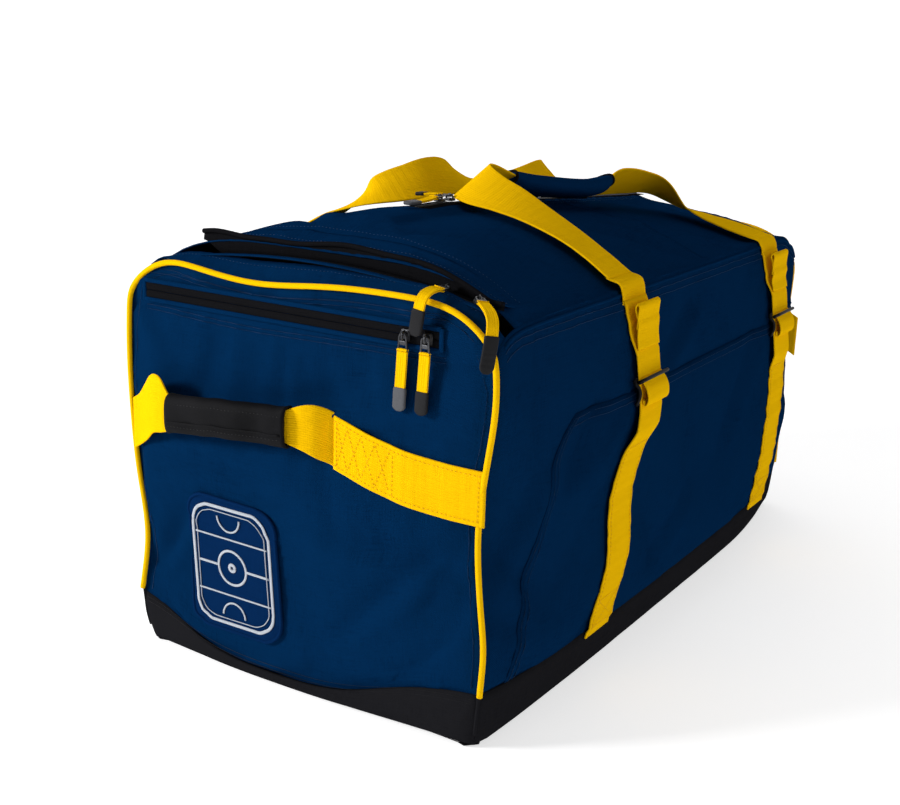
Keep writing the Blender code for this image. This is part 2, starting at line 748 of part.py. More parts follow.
def zip_pull(name, at, hinge, down, out, bends, finishes):
    """Slider, puller and tab of one zip; bends are the tab's knots in (down, out) millimetres."""
    metal, fabric = finishes
    slider("slider_" + name, at, hinge, down, out, metal)
    pivot = at + out * (SLIDER_H + 0.0020)
    puller("puller_" + name, pivot, hinge, down, out, metal)
    knots = [pivot + down * (a / 1000) + out * (b / 1000) for a, b in bends]
    tab("pull_tab_" + name, smooth_path(knots, 4), hinge, fabric, pivot)


def zips(metal, yellow):
    x, y, z = Vector((1, 0, 0)), Vector((0, 1, 0)), Vector((0, 0, 1))
    finishes = (metal, yellow)
    hanging = [(12.9, 0), (26, 1.0), (40, 2.2), (52, 3.1), (64, 3.8)]
    for side, at_x in (("left", 0.121), ("right", 0.1435)):
        at = Vector((at_x, -END_ZIP_Y - 0.0014 - GAP, END_ZIP_Z))
        zip_pull("end_" + side, at, x, -z, -y, hanging, finishes)

    def on_arc(at_x):
        centre = Vector((0, CROSS_ZIP_Y, CROSS_ZIP_TOP_Z - CROSS_ZIP_RADIUS))
        out = (Vector((at_x, CROSS_ZIP_Y, cross_track_z(at_x))) - centre).normalized()
        return centre + out * (CROSS_ZIP_RADIUS + GAP), out

    over_front = [(12.9, 0), (22, 0.8), (32, -0.8), (38, -6), (39.5, -16), (39.5, -27), (39.5, -37)]
    at, out = on_arc(0.140)
    zip_pull("cross_left", at, (-y).cross(out).normalized(), -y, out, over_front, finishes)
    over_corner = [(12.9, 0), (24, 0.6), (38, 0.4), (49, -3), (55, -12), (58, -26), (60, -44)]
    at, out = on_arc(0.172)
    down = (y.cross(out) - y).normalized()
    zip_pull("cross_right", at, down.cross(out).normalized(), down, out, over_corner, finishes)

    def on_ridge(at_y):
        return Vector((0, at_y, ridge_z(at_y) - 0.0002 + 3 * GAP))

    lying = [(12.9, 0), (24, -1.2), (36, -1.6), (48, -1.6), (60, -1.6)]
    zip_pull("main_near", on_ridge(-0.1745), x, -y, z, lying, finishes)
    folded = [(12.9, 0), (20, -0.3), (27, -0.6), (34, -0.9), (40, -1.2)]
    zip_pull("main_far", on_ridge(-0.1560), y, -x, z, folded, finishes)


def build():
    clear_scene()
    navy = material("navy_canvas", (0.008, 0.030, 0.095), 0.85)
    yellow = material("yellow_webbing", (0.86, 0.47, 0.01), 0.7)
    black = material("black_canvas", (0.012, 0.012, 0.014), 0.75)
    plastic = material("black_plastic", (0.015, 0.015, 0.017), 0.4)
    metal = material("gunmetal", (0.10, 0.10, 0.11), 0.35, 1.0)
    grey = material("liner", (0.16, 0.16, 0.17), 0.8)
    base_tub(black)
    base_board(grey)
    side_panels(navy)
    side_overlays(navy)
    end_panels(navy)
    top_panels(navy)
    lid_flaps(navy, black)
    piping(yellow)
    liners(grey)
    badge(navy)
    carry_straps(yellow, plastic)
    carry_handles(yellow, navy)
    end_handles(yellow, black)
    zip_tapes(black, navy)
    zips(metal, yellow)


build()
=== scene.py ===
"""Looks of the hockey equipment bag: sewn canvas, webbing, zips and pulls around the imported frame."""

import json
import math

import bpy
import numpy as np
from mathutils import Matrix, Vector


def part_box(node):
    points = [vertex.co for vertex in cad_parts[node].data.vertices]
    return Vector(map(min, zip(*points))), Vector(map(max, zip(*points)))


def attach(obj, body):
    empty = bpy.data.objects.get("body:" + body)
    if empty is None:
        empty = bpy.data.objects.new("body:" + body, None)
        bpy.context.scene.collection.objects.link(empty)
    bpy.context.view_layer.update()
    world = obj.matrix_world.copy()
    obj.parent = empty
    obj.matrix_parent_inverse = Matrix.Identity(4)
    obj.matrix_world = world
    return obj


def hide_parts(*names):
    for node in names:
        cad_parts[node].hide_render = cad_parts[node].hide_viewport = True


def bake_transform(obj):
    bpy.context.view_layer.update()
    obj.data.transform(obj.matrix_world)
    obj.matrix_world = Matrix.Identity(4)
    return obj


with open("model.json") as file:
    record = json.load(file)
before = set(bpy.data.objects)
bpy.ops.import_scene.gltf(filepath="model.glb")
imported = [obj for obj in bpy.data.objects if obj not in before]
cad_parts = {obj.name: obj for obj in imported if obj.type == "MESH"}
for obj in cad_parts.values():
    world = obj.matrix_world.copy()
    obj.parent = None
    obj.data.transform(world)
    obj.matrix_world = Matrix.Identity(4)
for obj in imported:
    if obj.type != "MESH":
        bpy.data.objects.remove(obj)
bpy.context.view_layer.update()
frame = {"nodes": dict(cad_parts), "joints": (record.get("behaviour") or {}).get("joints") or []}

X, Y, Z = Vector((1, 0, 0)), Vector((0, 1, 0)), Vector((0, 0, 1))

# ---------------------------------------------------------------- sizes read from the frame

HALF_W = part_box("end_panel_near")[1].x
HALF_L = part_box("side_panel_right")[1].y + 0.0036
END_ZIP_Z = (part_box("end_zip")[0].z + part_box("end_zip")[1].z) / 2
JOINTS = {joint["name"]: joint for joint in frame["joints"]}
BAND_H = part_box("base_tub")[1].z
SEAM_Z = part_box("side_panel_right")[1].z + 0.0003
RIDGE_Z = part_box("lid_flap_right")[1].z
LID_NEAR, LID_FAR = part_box("lid_flap_right")[0].y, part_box("lid_flap_right")[1].y
CROSS_NEAR, CROSS_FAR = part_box("cross_zip")[0].y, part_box("cross_zip")[1].y
END_ZIP_LOW, END_ZIP_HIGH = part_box("end_zip")
TRACK_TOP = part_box("cross_zip")[1].z
RIDGE_FALL, RIDGE_FALL_FROM, RIDGE_STRAIGHT = 0.066, -0.170, 0.29
NEAR_TOP_Z, FAR_TOP_Z = 0.402, 0.378
NEAR_DROP, FAR_DROP = 0.020, 0.050
SIDE_BULGE, END_BULGE = 0.033, 0.012
TRACK_RADIUS = 0.90
TOP_EDGE = 0.1985
LID_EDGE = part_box("lid_flap_right")[0].x
CANVAS = 0.0013
WEB, WEB_T = 0.050, 0.0020
BUCKLE_Z, BUCKLE_RUN, BUCKLE_LIFT, STRAP_OFFSET = 0.290, 0.036, 0.0038, 0.0022
KNEE_X = 0.1945
FAR_STRAP_Y = 0.235
STITCH_ROW = 0.021
OVERLAY_FOOT, OVERLAY_HIGH, OVERLAY_FAR = 0.001, 0.232, 0.395
RIBBON_HALF = 0.0050
COIL_PITCH = 0.0021
FOLD_DEPTH = 2.4
CORNER_GAP = 0.29  # a rounded corner stands this share of its radius inside the square one

rng = np.random.default_rng(7)

# ---------------------------------------------------------------- materials


def shader_of(name, colour, roughness, specular, metallic=0.0):
    """A principled material with its node tree and shader node."""
    made = bpy.data.materials.new(name)
    made.use_nodes = True
    shader = made.node_tree.nodes["Principled BSDF"]
    shader.inputs["Base Color"].default_value = (*colour, 1.0)
    shader.inputs["Roughness"].default_value = roughness
    shader.inputs["Metallic"].default_value = metallic
    shader.inputs["Specular IOR Level"].default_value = specular
    return made, made.node_tree, shader


def node(tree, kind, **values):
    made = tree.nodes.new(kind)
    for key, value in values.items():
        if key in made.inputs:
            made.inputs[key].default_value = value
        else:
            setattr(made, key, value)
    return made


def maths(tree, operation, a, b=None):
    made = node(tree, "ShaderNodeMath", operation=operation)
    for socket, value in zip(made.inputs, (a, b)):
        if value is None:
            continue
        if isinstance(value, (int, float)):
            socket.default_value = value
        else:
            tree.links.new(value, socket)
    return made.outputs[0]


def blotch(tree, vector, scale, detail=3.0, stretch=(1, 1, 1)):
    mapping = node(tree, "ShaderNodeMapping", Scale=stretch)
    tree.links.new(vector, mapping.inputs["Vector"])
    noise = node(tree, "ShaderNodeTexNoise", Scale=scale, Detail=detail)
    tree.links.new(mapping.outputs[0], noise.inputs["Vector"])
    return noise.outputs["Fac"]


def tint(tree, factor, colours, positions=(0.3, 0.7)):
    ramp = node(tree, "ShaderNodeValToRGB")
    for element, colour, position in zip(ramp.color_ramp.elements, colours, positions):
        element.color = (*colour, 1.0)
        element.position = position
    tree.links.new(factor, ramp.inputs["Fac"])
    return ramp.outputs["Color"]


def bump(tree, shader, height, strength, distance):
    made = node(tree, "ShaderNodeBump", Strength=strength, Distance=distance)
    tree.links.new(height, made.inputs["Height"])
    tree.links.new(made.outputs["Normal"], shader.inputs["Normal"])


def woven(name, dark, light, roughness, pitch, strength=0.5, ribs=False):
    """Cloth whose threads follow the piece's UV map, which is in metres."""
    made, tree, shader = shader_of(name, light, roughness, specular=0.0)
    uv = node(tree, "ShaderNodeUVMap")
    parts = node(tree, "ShaderNodeSeparateXYZ")
    tree.links.new(uv.outputs[0], parts.inputs[0])
    wave = 2 * math.pi / pitch
    across = maths(tree, "SINE", maths(tree, "MULTIPLY", parts.outputs["X"], wave))
    along = maths(
        tree, "SINE", maths(tree, "MULTIPLY", parts.outputs["Y"], wave * (0.42 if ribs else 1.0))
    )
    if ribs:
        weave = maths(tree, "ADD", maths(tree, "ABSOLUTE", across), maths(tree, "MULTIPLY", along, 0.35))
    else:
        weave = maths(tree, "MULTIPLY", across, along)
    warp = blotch(tree, uv.outputs[0], 1.0, 2.0, (900, 45, 1))
    weft = blotch(tree, uv.outputs[0], 1.0, 2.0, (45, 900, 1))
    threads = maths(tree, "ADD", warp, weft)
    cloud = blotch(tree, uv.outputs[0], 9.0, 4.0)
    slub, fading = 0.5, 0.45
    mixed = maths(
        tree, "ADD", maths(tree, "MULTIPLY", threads, slub), maths(tree, "MULTIPLY", weave, 0.10)
    )
    mixed = maths(tree, "ADD", mixed, maths(tree, "MULTIPLY", cloud, fading))
    mixed = maths(tree, "MULTIPLY", mixed, 1.0 / (slub + fading))
    tree.links.new(tint(tree, mixed, (dark, light), (0.32, 0.72)), shader.inputs["Base Color"])
    rough = maths(tree, "ADD", maths(tree, "MULTIPLY", cloud, 0.16), roughness - 0.08)
    tree.links.new(rough, shader.inputs["Roughness"])
    height = maths(
        tree, "ADD", maths(tree, "MULTIPLY", weave, 0.5), maths(tree, "MULTIPLY", threads, 0.9)
    )
    bump(tree, shader, height, strength, 0.0006)
    return made


def moulded(name, dark, light, roughness, metallic=0.0, grain=260.0, strength=0.25, specular=0.28):
    """Plastic, rubber, vinyl or plated metal, by the piece's own coordinates."""
    made, tree, shader = shader_of(name, light, roughness, specular, metallic)
    place = node(tree, "ShaderNodeTexCoord").outputs["Object"]
    grain_at = blotch(tree, place, grain, 3.0)
    worn = blotch(tree, place, 24.0, 4.0)
    tree.links.new(tint(tree, worn, (dark, light)), shader.inputs["Base Color"])
    rough = maths(tree, "ADD", maths(tree, "MULTIPLY", worn, 0.22), roughness - 0.11)
    tree.links.new(rough, shader.inputs["Roughness"])
    bump(tree, shader, grain_at, strength, 0.0005)
    return made


YELLOWS = ((0.72, 0.39, 0.001), (0.88, 0.50, 0.002))
NAVY = woven("navy canvas", (0.0003, 0.0050, 0.021), (0.0011, 0.0215, 0.075), 0.86, 0.0016, 0.9)
NAVY_IN = woven("canvas lining", (0.001, 0.006, 0.022), (0.002, 0.010, 0.036), 0.88, 0.0016)
YELLOW = woven("yellow webbing", *YELLOWS, 0.62, 0.0042, 0.8, ribs=True)
PIPING = woven("yellow piping", *YELLOWS, 0.58, 0.0011, 0.35)
BLACK = woven("black base cloth", (0.0030, 0.0030, 0.0038), (0.0115, 0.0115, 0.0135), 0.60, 0.0014, 0.4)
TAPE = woven("zip tape", (0.0020, 0.0020, 0.0024), (0.0070, 0.0070, 0.0082), 0.62, 0.0009, 0.4)
COIL = moulded("zip coil", (0.0040, 0.0040, 0.0046), (0.013, 0.013, 0.015), 0.42)
METAL = moulded("gunmetal plating", (0.030, 0.031, 0.034), (0.070, 0.072, 0.078), 0.34, 0.9, 180.0, 0.1)
PLASTIC = moulded(
    "black acetal", (0.004, 0.004, 0.005), (0.010, 0.010, 0.011), 0.5, 0.0, 300.0, 0.15, 0.12
)
VINYL = moulded(
    "black vinyl", (0.0030, 0.0030, 0.0036), (0.0085, 0.0085, 0.0098), 0.7, 0.0, 420.0, 0.5, 0.05
)
TIP_BLACK = moulded(
    "black rubber", (0.007, 0.007, 0.008), (0.016, 0.016, 0.018), 0.6, 0.0, 260.0, 0.25, 0.10
)
TIP_GREY = moulded("grey rubber", (0.050, 0.052, 0.060), (0.085, 0.088, 0.098), 0.62)
BOARD = moulded("stiffener board", (0.030, 0.030, 0.032), (0.070, 0.070, 0.072), 0.75, 0.0, 90.0, 0.4)
THREAD_BLUE = moulded("blue thread", (0.002, 0.020, 0.075), (0.006, 0.040, 0.13), 0.6, 0.0, 900.0)
THREAD_YELLOW = moulded("yellow thread", (0.68, 0.36, 0.001), (0.84, 0.47, 0.002), 0.6, 0.0, 900.0)
THREAD_BLACK = moulded("black thread", (0.006, 0.006, 0.007), (0.020, 0.020, 0.022), 0.6, 0.0, 900.0)
THREAD_WHITE = woven("white embroidery", (0.30, 0.33, 0.38), (0.56, 0.60, 0.66), 0.55, 0.0012, 0.9)
PATCH = woven("patch twill", (0.0010, 0.0110, 0.048), (0.0022, 0.0200, 0.080), 0.7, 0.0010, 0.7)

# ---------------------------------------------------------------- mesh helpers


def smooth(t):
    t = np.clip(t, 0.0, 1.0)
    return t * t * (3 - 2 * t)


def mesh_object(name, points, faces, finish, uvs=None):
    mesh = bpy.data.meshes.new(name)
    mesh.from_pydata([tuple(float(c) for c in p) for p in points], [], faces)
    mesh.materials.append(finish)
    if uvs is not None:
        layer = mesh.uv_layers.new(name="UVMap")
        for loop in mesh.loops:
            layer.data[loop.index].uv = uvs[loop.vertex_index]
    mesh.shade_smooth()
    made = bpy.data.objects.new(name, mesh)
    bpy.context.scene.collection.objects.link(made)
    return made


def grid_faces(nu, nv, wrap=False):
    faces = []
    for i in range(nu if wrap else nu - 1):
        n = (i + 1) % nu
        faces += [(i * nv + j, n * nv + j, n * nv + j + 1, i * nv + j + 1) for j in range(nv - 1)]
    return faces


def run_of(path):
    """Running length at each point of a path."""
    return np.concatenate([[0], np.cumsum(np.linalg.norm(np.diff(path, axis=0), axis=1))])


def closed_rings(rows, count):
    """Faces of a stack of closed rings, with a cap on the first and the last."""
    faces = [tuple(range(count))[::-1]]
    for i in range(rows - 1):
        for k in range(count):
            n = (k + 1) % count
            faces.append((i * count + k, i * count + n, (i + 1) * count + n, (i + 1) * count + k))
    faces.append(tuple((rows - 1) * count + k for k in range(count)))
    return faces


def cell_value(table, i, j, s, t):
    """Bilinear value inside one cell of a table."""
    near = table[i, j] * (1 - s) * (1 - t) + table[i + 1, j] * s * (1 - t)
    return near + table[i, j + 1] * (1 - s) * t + table[i + 1, j + 1] * s * t


def soft_section(sides, flat_a, flat_b):
    """A closed section between an ellipse (powers of 1) and a rectangle (powers near 0)."""
    turns = np.linspace(0, 2 * math.pi, sides, endpoint=False)
    pairs = [(math.cos(t), math.sin(t)) for t in turns]
    return [(math.copysign(abs(a) ** flat_a, a), math.copysign(abs(b) ** flat_b, b)) for a, b in pairs]


def lengths(grid):
    """UV in metres: the running length along both directions of a grid, at its middle lines."""
    mid_u, mid_v = grid.shape[0] // 2, grid.shape[1] // 2
    return np.stack(np.meshgrid(run_of(grid[:, mid_v]), run_of(grid[mid_u]), indexing="ij"), -1)


def cloth_piece(name, grid, finish, thickness=CANVAS, flip=False, lining=None):
    """A panel of cloth with its outer face on the grid; its thickness goes inwards."""
    nu, nv, _ = grid.shape
    faces = grid_faces(nu, nv)
    if flip:
        faces = [f[::-1] for f in faces]
    made = mesh_object(name, grid.reshape(-1, 3), faces, finish, lengths(grid).reshape(-1, 2))
    solid = made.modifiers.new("thickness", "SOLIDIFY")
    solid.thickness = thickness
    solid.offset = -1.0
    if lining is not None:
        made.data.materials.append(lining)
        solid.material_offset = 1
    return made


def frames_along(path):
    """Unit tangents of a path."""
    ahead = np.gradient(path, axis=0)
    return ahead / np.linalg.norm(ahead, axis=1)[:, None]


def resample(path, pitch):
    steps = run_of(path)
    count = max(2, int(round(steps[-1] / pitch)) + 1)
    at = np.linspace(0, steps[-1], count)
    return np.stack([np.interp(at, steps, path[:, k]) for k in range(path.shape[1])], 1)


def spline(knots, pitch=0.004):
    """Catmull-Rom through knots of any width (x, y, z and what else varies), evenly resampled."""
    knots = np.array(knots, float)
    padded = np.vstack([2 * knots[0] - knots[1], knots, 2 * knots[-1] - knots[-2]])
    points = []
    for i in range(1, len(padded) - 2):
        a, b, c, d = padded[i - 1 : i + 3]
        for t in np.linspace(0, 1, 12, endpoint=False):
            points.append(
                (
                    2 * b + (c - a) * t + (2 * a - 5 * b + 4 * c - d) * t**2
                    + (3 * b - a - 3 * c + d) * t**3
                ) / 2
            )
    points.append(knots[-1])
    points = np.array(points)
    steps = run_of(points[:, :3])
    at = np.linspace(0, steps[-1], max(3, int(round(steps[-1] / pitch)) + 1))
    return np.stack([np.interp(at, steps, points[:, k]) for k in range(points.shape[1])], 1)


def sweep(name, path, sides, ups, section, finish):
    """Skin a closed section of (side, up) pairs along a path; sides and ups hold its axes."""
    section = np.array(section, float)
    count = len(section)
    path, sides, ups = (np.asarray(v, float) for v in (path, sides, ups))
    points = path[:, None] + sides[:, None] * section[None, :, :1] + ups[:, None] * section[None, :, 1:2]
    faces = closed_rings(len(path), count)
    run = run_of(path)
    width = np.linalg.norm(sides, axis=1)
    uvs = np.stack([section[None, :, 0] * width[:, None], np.repeat(run[:, None], count, 1)], -1)
    made = mesh_object(name, points.reshape(-1, 3), faces, finish, uvs.reshape(-1, 2))
    orient(made)
    return made


def orient(made):
    """Point a closed mesh's faces outwards."""
    mesh = made.data
    co = np.array([v.co for v in mesh.vertices], float)
    volume = 0.0
    for face in mesh.polygons:
        a = co[face.vertices[0]]
        for k in range(1, len(face.vertices) - 1):
            volume += a @ np.cross(co[face.vertices[k]], co[face.vertices[k + 1]])
    if volume < 0:
        mesh.flip_normals()


def round_section(radius, sides=12):
    turns = np.linspace(0, 2 * math.pi, sides, endpoint=False)
    return [(radius * math.cos(t), radius * math.sin(t)) for t in turns]


def tube(name, path, radius, finish, sides=12):
    path = np.asarray(path, float)
    ahead = frames_along(path)
    side = np.cross(ahead[0], (0.3, 0.5, 0.81))
    rows = []
    for a in ahead:
        side = side - a * (side @ a)
        side /= np.linalg.norm(side)
        rows.append(side)
    rows = np.array(rows)
    return sweep(name, path, rows, np.cross(ahead, rows), round_section(radius, sides), finish)


WEB_SECTION = [
    (-1.0, 0.2), (-0.985, 0.85), (-0.93, 1.05), (-0.87, 0.9), (-0.4, 0.95), (0.0, 0.95), (0.4, 0.95)
]
WEB_SECTION += [(0.87, 0.9), (0.93, 1.05), (0.985, 0.85), (1.0, 0.2)]
WEB_SECTION += [(a, -h) for a, h in reversed(WEB_SECTION)]


def webbing(name, path, halves, thickness=WEB_T):
    """Webbing along a path; halves holds the vector from its middle to one edge at each point."""
    path, halves = np.asarray(path, float), np.asarray(halves, float)
    ahead = frames_along(path)
    ups = np.cross(ahead, halves)
    ups /= np.linalg.norm(ups, axis=1)[:, None]
    return sweep(name, path, halves, ups * thickness / 2, WEB_SECTION, YELLOW)


def join(name, objects):
    bpy.ops.object.select_all(action="DESELECT")
    for item in objects:
        item.select_set(True)
    bpy.context.view_layer.objects.active = objects[0]
    bpy.ops.object.join()
    objects[0].name = name
    return objects[0]


def stitches(name, lines, finish, stitch=0.0030, gap=0.0012, radius=0.00035, lift=0.0003):
    """Rows of sewn stitches; each line is a path of points and the surface normals there."""
    points, faces = [], []
    for path, normals in lines:
        both = resample(
            np.hstack([np.asarray(path, float), np.asarray(normals, float)]), (stitch + gap) / 4
        )
        step = 4
        for i in range(0, len(both) - step, step):
            a, b = both[i, :3], both[i + 3, :3]
            up = both[i, 3:] / np.linalg.norm(both[i, 3:])
            ahead = (b - a) / max(1e-9, np.linalg.norm(b - a))
            side = np.cross(up, ahead)
            middle = (a + b) / 2 + up * lift
            base = len(points)
            ring = [side * radius, up * radius, -side * radius, -up * radius]
            points += [a - up * radius * 0.6, *[middle + r for r in ring], b - up * radius * 0.6]
            for k in range(4):
                n = (k + 1) % 4
                faces += [(base, base + 1 + n, base + 1 + k), (base + 5, base + 1 + k, base + 1 + n)]
    return mesh_object(name, points, faces, finish)


# ---------------------------------------------------------------- the bag's surface


def fullness(z):
    share = np.clip(z / SEAM_Z, 0.0, 1.0)
    return np.sin(math.pi * share).clip(0) ** 0.7


def side_x(y, z):
    return HALF_W + SIDE_BULGE * (1 - abs(y / HALF_L) ** 4) * fullness(z)


def seam_z(y):
    share = abs(y / HALF_L)
    return SEAM_Z - np.where(y < 0, NEAR_DROP * share**24, FAR_DROP * share**10)


def ridge_z(y):
    level = RIDGE_Z - RIDGE_FALL * (np.clip(y, RIDGE_FALL_FROM, RIDGE_STRAIGHT) - RIDGE_FALL_FROM)
    past = np.maximum(0.0, (abs(y) - RIDGE_STRAIGHT) / (HALF_L - RIDGE_STRAIGHT))
    return level - (level - np.where(y < 0, NEAR_TOP_Z, FAR_TOP_Z)) * past**2


def top_z(x, y):
    share = abs(y / HALF_L)
    slump = smooth(y / 0.25)
    power = 2.6 - 1.2 * slump + np.where(y < 0, 5.4, 4.6) * share**12
    return seam_z(y) + (ridge_z(y) - seam_z(y)) * (1 - np.minimum(1.0, abs(x / HALF_W)) ** power)


def end_top(x, sign=-1):
    return float(top_z(x, sign * HALF_L))


def end_y(x, z, sign=-1):
    share = np.clip((z - BAND_H) / (end_top(x, sign) - BAND_H), 0.0, 1.0)
    swell = np.sin(math.pi * share).clip(0) ** 2.2
    low = 0.006 * fullness(z) * (1 - share)
    return HALF_L + (END_BULGE * swell + low) * (1 - np.minimum(1.0, abs(x / HALF_W)) ** 3)


def bell(value, centre, width):
    return np.exp(-(((value - centre) / width) ** 2))


def settle(points):
    """The soft bag's own slumps: its corners wander some millimetres from the straight edges."""
    p = np.array(points, float)
    x, y, z = p[..., 0].copy(), p[..., 1].copy(), p[..., 2].copy()
    near, far = bell(y, -HALF_L, 0.10), bell(y, HALF_L, 0.11)
    right, left = bell(x, HALF_W, 0.07), bell(x, -HALF_W, 0.08)
    p[..., 0] += near * right * (
        0.005 * bell(z, 0.33, 0.05) - 0.010 * bell(z, 0.205, 0.07) + 0.003 * bell(z, 0.1, 0.03)
    )
    p[..., 0] += near * left * (0.014 * bell(z, 0.120, 0.06) - 0.003 * bell(z, 0.30, 0.06))
    p[..., 0] -= np.sign(x) * bell(
        abs(x), 0.235, 0.03
    ) * 0.009 * bell(z, 0.19, 0.06) * bell(y, -0.24, 0.16)
    p[..., 1] += near * right * 0.006 * bell(z, 0.20, 0.08)
    p[..., 0] -= far * x / HALF_W * (0.016 + 0.004 * bell(z, 0.25, 0.06))
    top = bell(y, -HALF_L, 0.016) * bell(z, 0.41, 0.05)
    p[..., 2] += top * (
        0.0025 * bell(x, -0.150, 0.03) - 0.010 * bell(x, -0.05, 0.075) + 0.001 * bell(x, 0.157, 0.03)
    )
    return p


class Sheet:
    """A panel's grid of points, which everything sewn on it follows."""

    def __init__(self, name, us, vs, place, outward, hold):
        self.name, self.us, self.vs = name, np.asarray(us), np.asarray(vs)
        base = np.array([[place(u, v) for v in self.vs] for u in self.us], float)
        self.grid = settle(base)
        self.outward = np.asarray(outward, float)
        mask = [[hold(*p) for p in row] for row in base]
        self.free = 1.0 - np.clip(np.array(mask, float), 0, 1)
        edge = np.zeros(self.free.shape, bool)
        edge[[0, -1], :] = edge[:, [0, -1]] = True
        self.free[edge] = 0.0

    def at(self, u, v):
        i = np.clip(np.searchsorted(self.us, u) - 1, 0, len(self.us) - 2)
        j = np.clip(np.searchsorted(self.vs, v) - 1, 0, len(self.vs) - 2)
        s = (u - self.us[i]) / (self.us[i + 1] - self.us[i])
        t = (v - self.vs[j]) / (self.vs[j + 1] - self.vs[j])
        return cell_value(self.grid, i, j, s, t)

    def normal(self, u, v, step=0.004):
        du = self.at(min(u + step, self.us[-1]), v) - self.at(max(u - step, self.us[0]), v)
        dv = self.at(u, min(v + step, self.vs[-1])) - self.at(u, max(v - step, self.vs[0]))
        found = np.cross(du, dv)
        found /= np.linalg.norm(found)
        return found if found @ self.outward > 0 else -found

    def line(self, pairs, lift=0.0):
        """Points on the sheet and the normals there, for a list of (u, v)."""
        normals = np.array([self.normal(u, v) for u, v in pairs])
        return np.array([self.at(u, v) for u, v in pairs]) + normals * lift, normals


def share_of_height(z, top):
    return (z - BAND_H) / (top - BAND_H)


def hem_z(x, sign=-1):
    """Top of the tub across an end: the loaded canvas of the near end sags over it."""
    x = np.asarray(x, float)
    reach = np.where(x < -0.03, 0.130, 0.150)
    sag = 0.045 * np.exp(-((abs(x + 0.03) / reach) ** 3))
    return BAND_H - sag * (sign < 0)


def end_share(x, z, sign=-1):
    low = float(hem_z(x, sign))
    return (z - low) / (end_top(x, sign) - low)


def near_strap_y(z):
    """The near straps wander: back from the foot, forward again, then up to the buckle."""
    levels = (BAND_H, 0.125, 0.190, 0.228, 0.268)
    ys = (-0.215, -0.193, -0.194, -0.179, -0.150)
    return float(np.interp([z - 0.012, z, z + 0.012], levels, ys).mean())


def strap_line(y, z):
    """1 under a carry strap, which holds the cloth of the long side."""
    return max(bell(y, near_strap_y(z), 0.030), bell(y, FAR_STRAP_Y, 0.030)) * 0.9


def side_sheet(sign):
    us = np.linspace(-HALF_L, HALF_L, 109)
    vs = np.linspace(0, 1, 47)

    def place(y, v):
        z = BAND_H + v * (seam_z(y) - BAND_H)
        return sign * side_x(y, z), y, z

    return Sheet("side", us, vs, place, (sign, 0, 0.2), lambda x, y, z: strap_line(y, z))


def end_sheet(sign):
    us = np.linspace(-HALF_W, HALF_W, 61)
    vs = np.linspace(0, 1, 53)

    def place(x, v):
        low = float(hem_z(x, sign))
        z = low + v * (end_top(x, sign) - low)
        level = end_y(x, z, sign)
        if sign < 0:
            level = max(level, HALF_L + 0.0036 * bell(z, END_ZIP_Z, 0.014) * (abs(x) < 0.19))
        return x, sign * level, z

    def hold(x, y, z):
        zip_hold = bell(z, END_ZIP_Z, 0.016)
        badge_hold = bell(x, -0.072, 0.075) * bell(z, 0.114, 0.085) * (sign < 0)
        tab_hold = bell(z, 0.252, 0.028) * smooth((-sign * x - 0.03) / 0.03) * 0.8
        return max(zip_hold, badge_hold, tab_hold)

    return Sheet("end", us, vs, place, (0, sign, 0.1), hold)


def top_sheet():
    half = np.concatenate([[0.0, LID_EDGE], np.linspace(LID_EDGE, TOP_EDGE, 30)[1:], [HALF_W]])
    us = np.concatenate([-half[::-1], half[1:]])
    vs = np.concatenate(
        [
            np.linspace(-HALF_L, CROSS_NEAR, 7)[:-1],
            np.linspace(CROSS_NEAR, CROSS_FAR, 4)[:-1],
            np.linspace(CROSS_FAR, LID_NEAR, 32)[:-1],
            np.linspace(LID_NEAR, (LID_NEAR + LID_FAR) / 2, 27)[:-1],
            np.linspace((LID_NEAR + LID_FAR) / 2, LID_FAR, 27)[:-1],
            np.linspace(LID_FAR, HALF_L, 18),
        ]
    )

    def hold(x, y, z):
        zip_line = bell(x, 0, 0.020) * smooth((0.31 - abs(y)) / 0.02)
        cross_line = bell(y, (CROSS_NEAR + CROSS_FAR) / 2, 0.018)
        return max(zip_line, cross_line)

    def place(x, y):
        z = float(top_z(x, y))
        if y < CROSS_NEAR + 1e-6:
            rise = max(0.0, track_z(min(0.19, abs(x))) - 0.0008 - float(top_z(x, CROSS_NEAR)))
            reach = float(smooth((y + HALF_L) / (CROSS_NEAR + HALF_L)))
            z += rise * reach * (1 - float(smooth((abs(x) - 0.172) / 0.024)))
        return x, y, z

    return Sheet("top", us, vs, place, (0, 0, 1), hold)


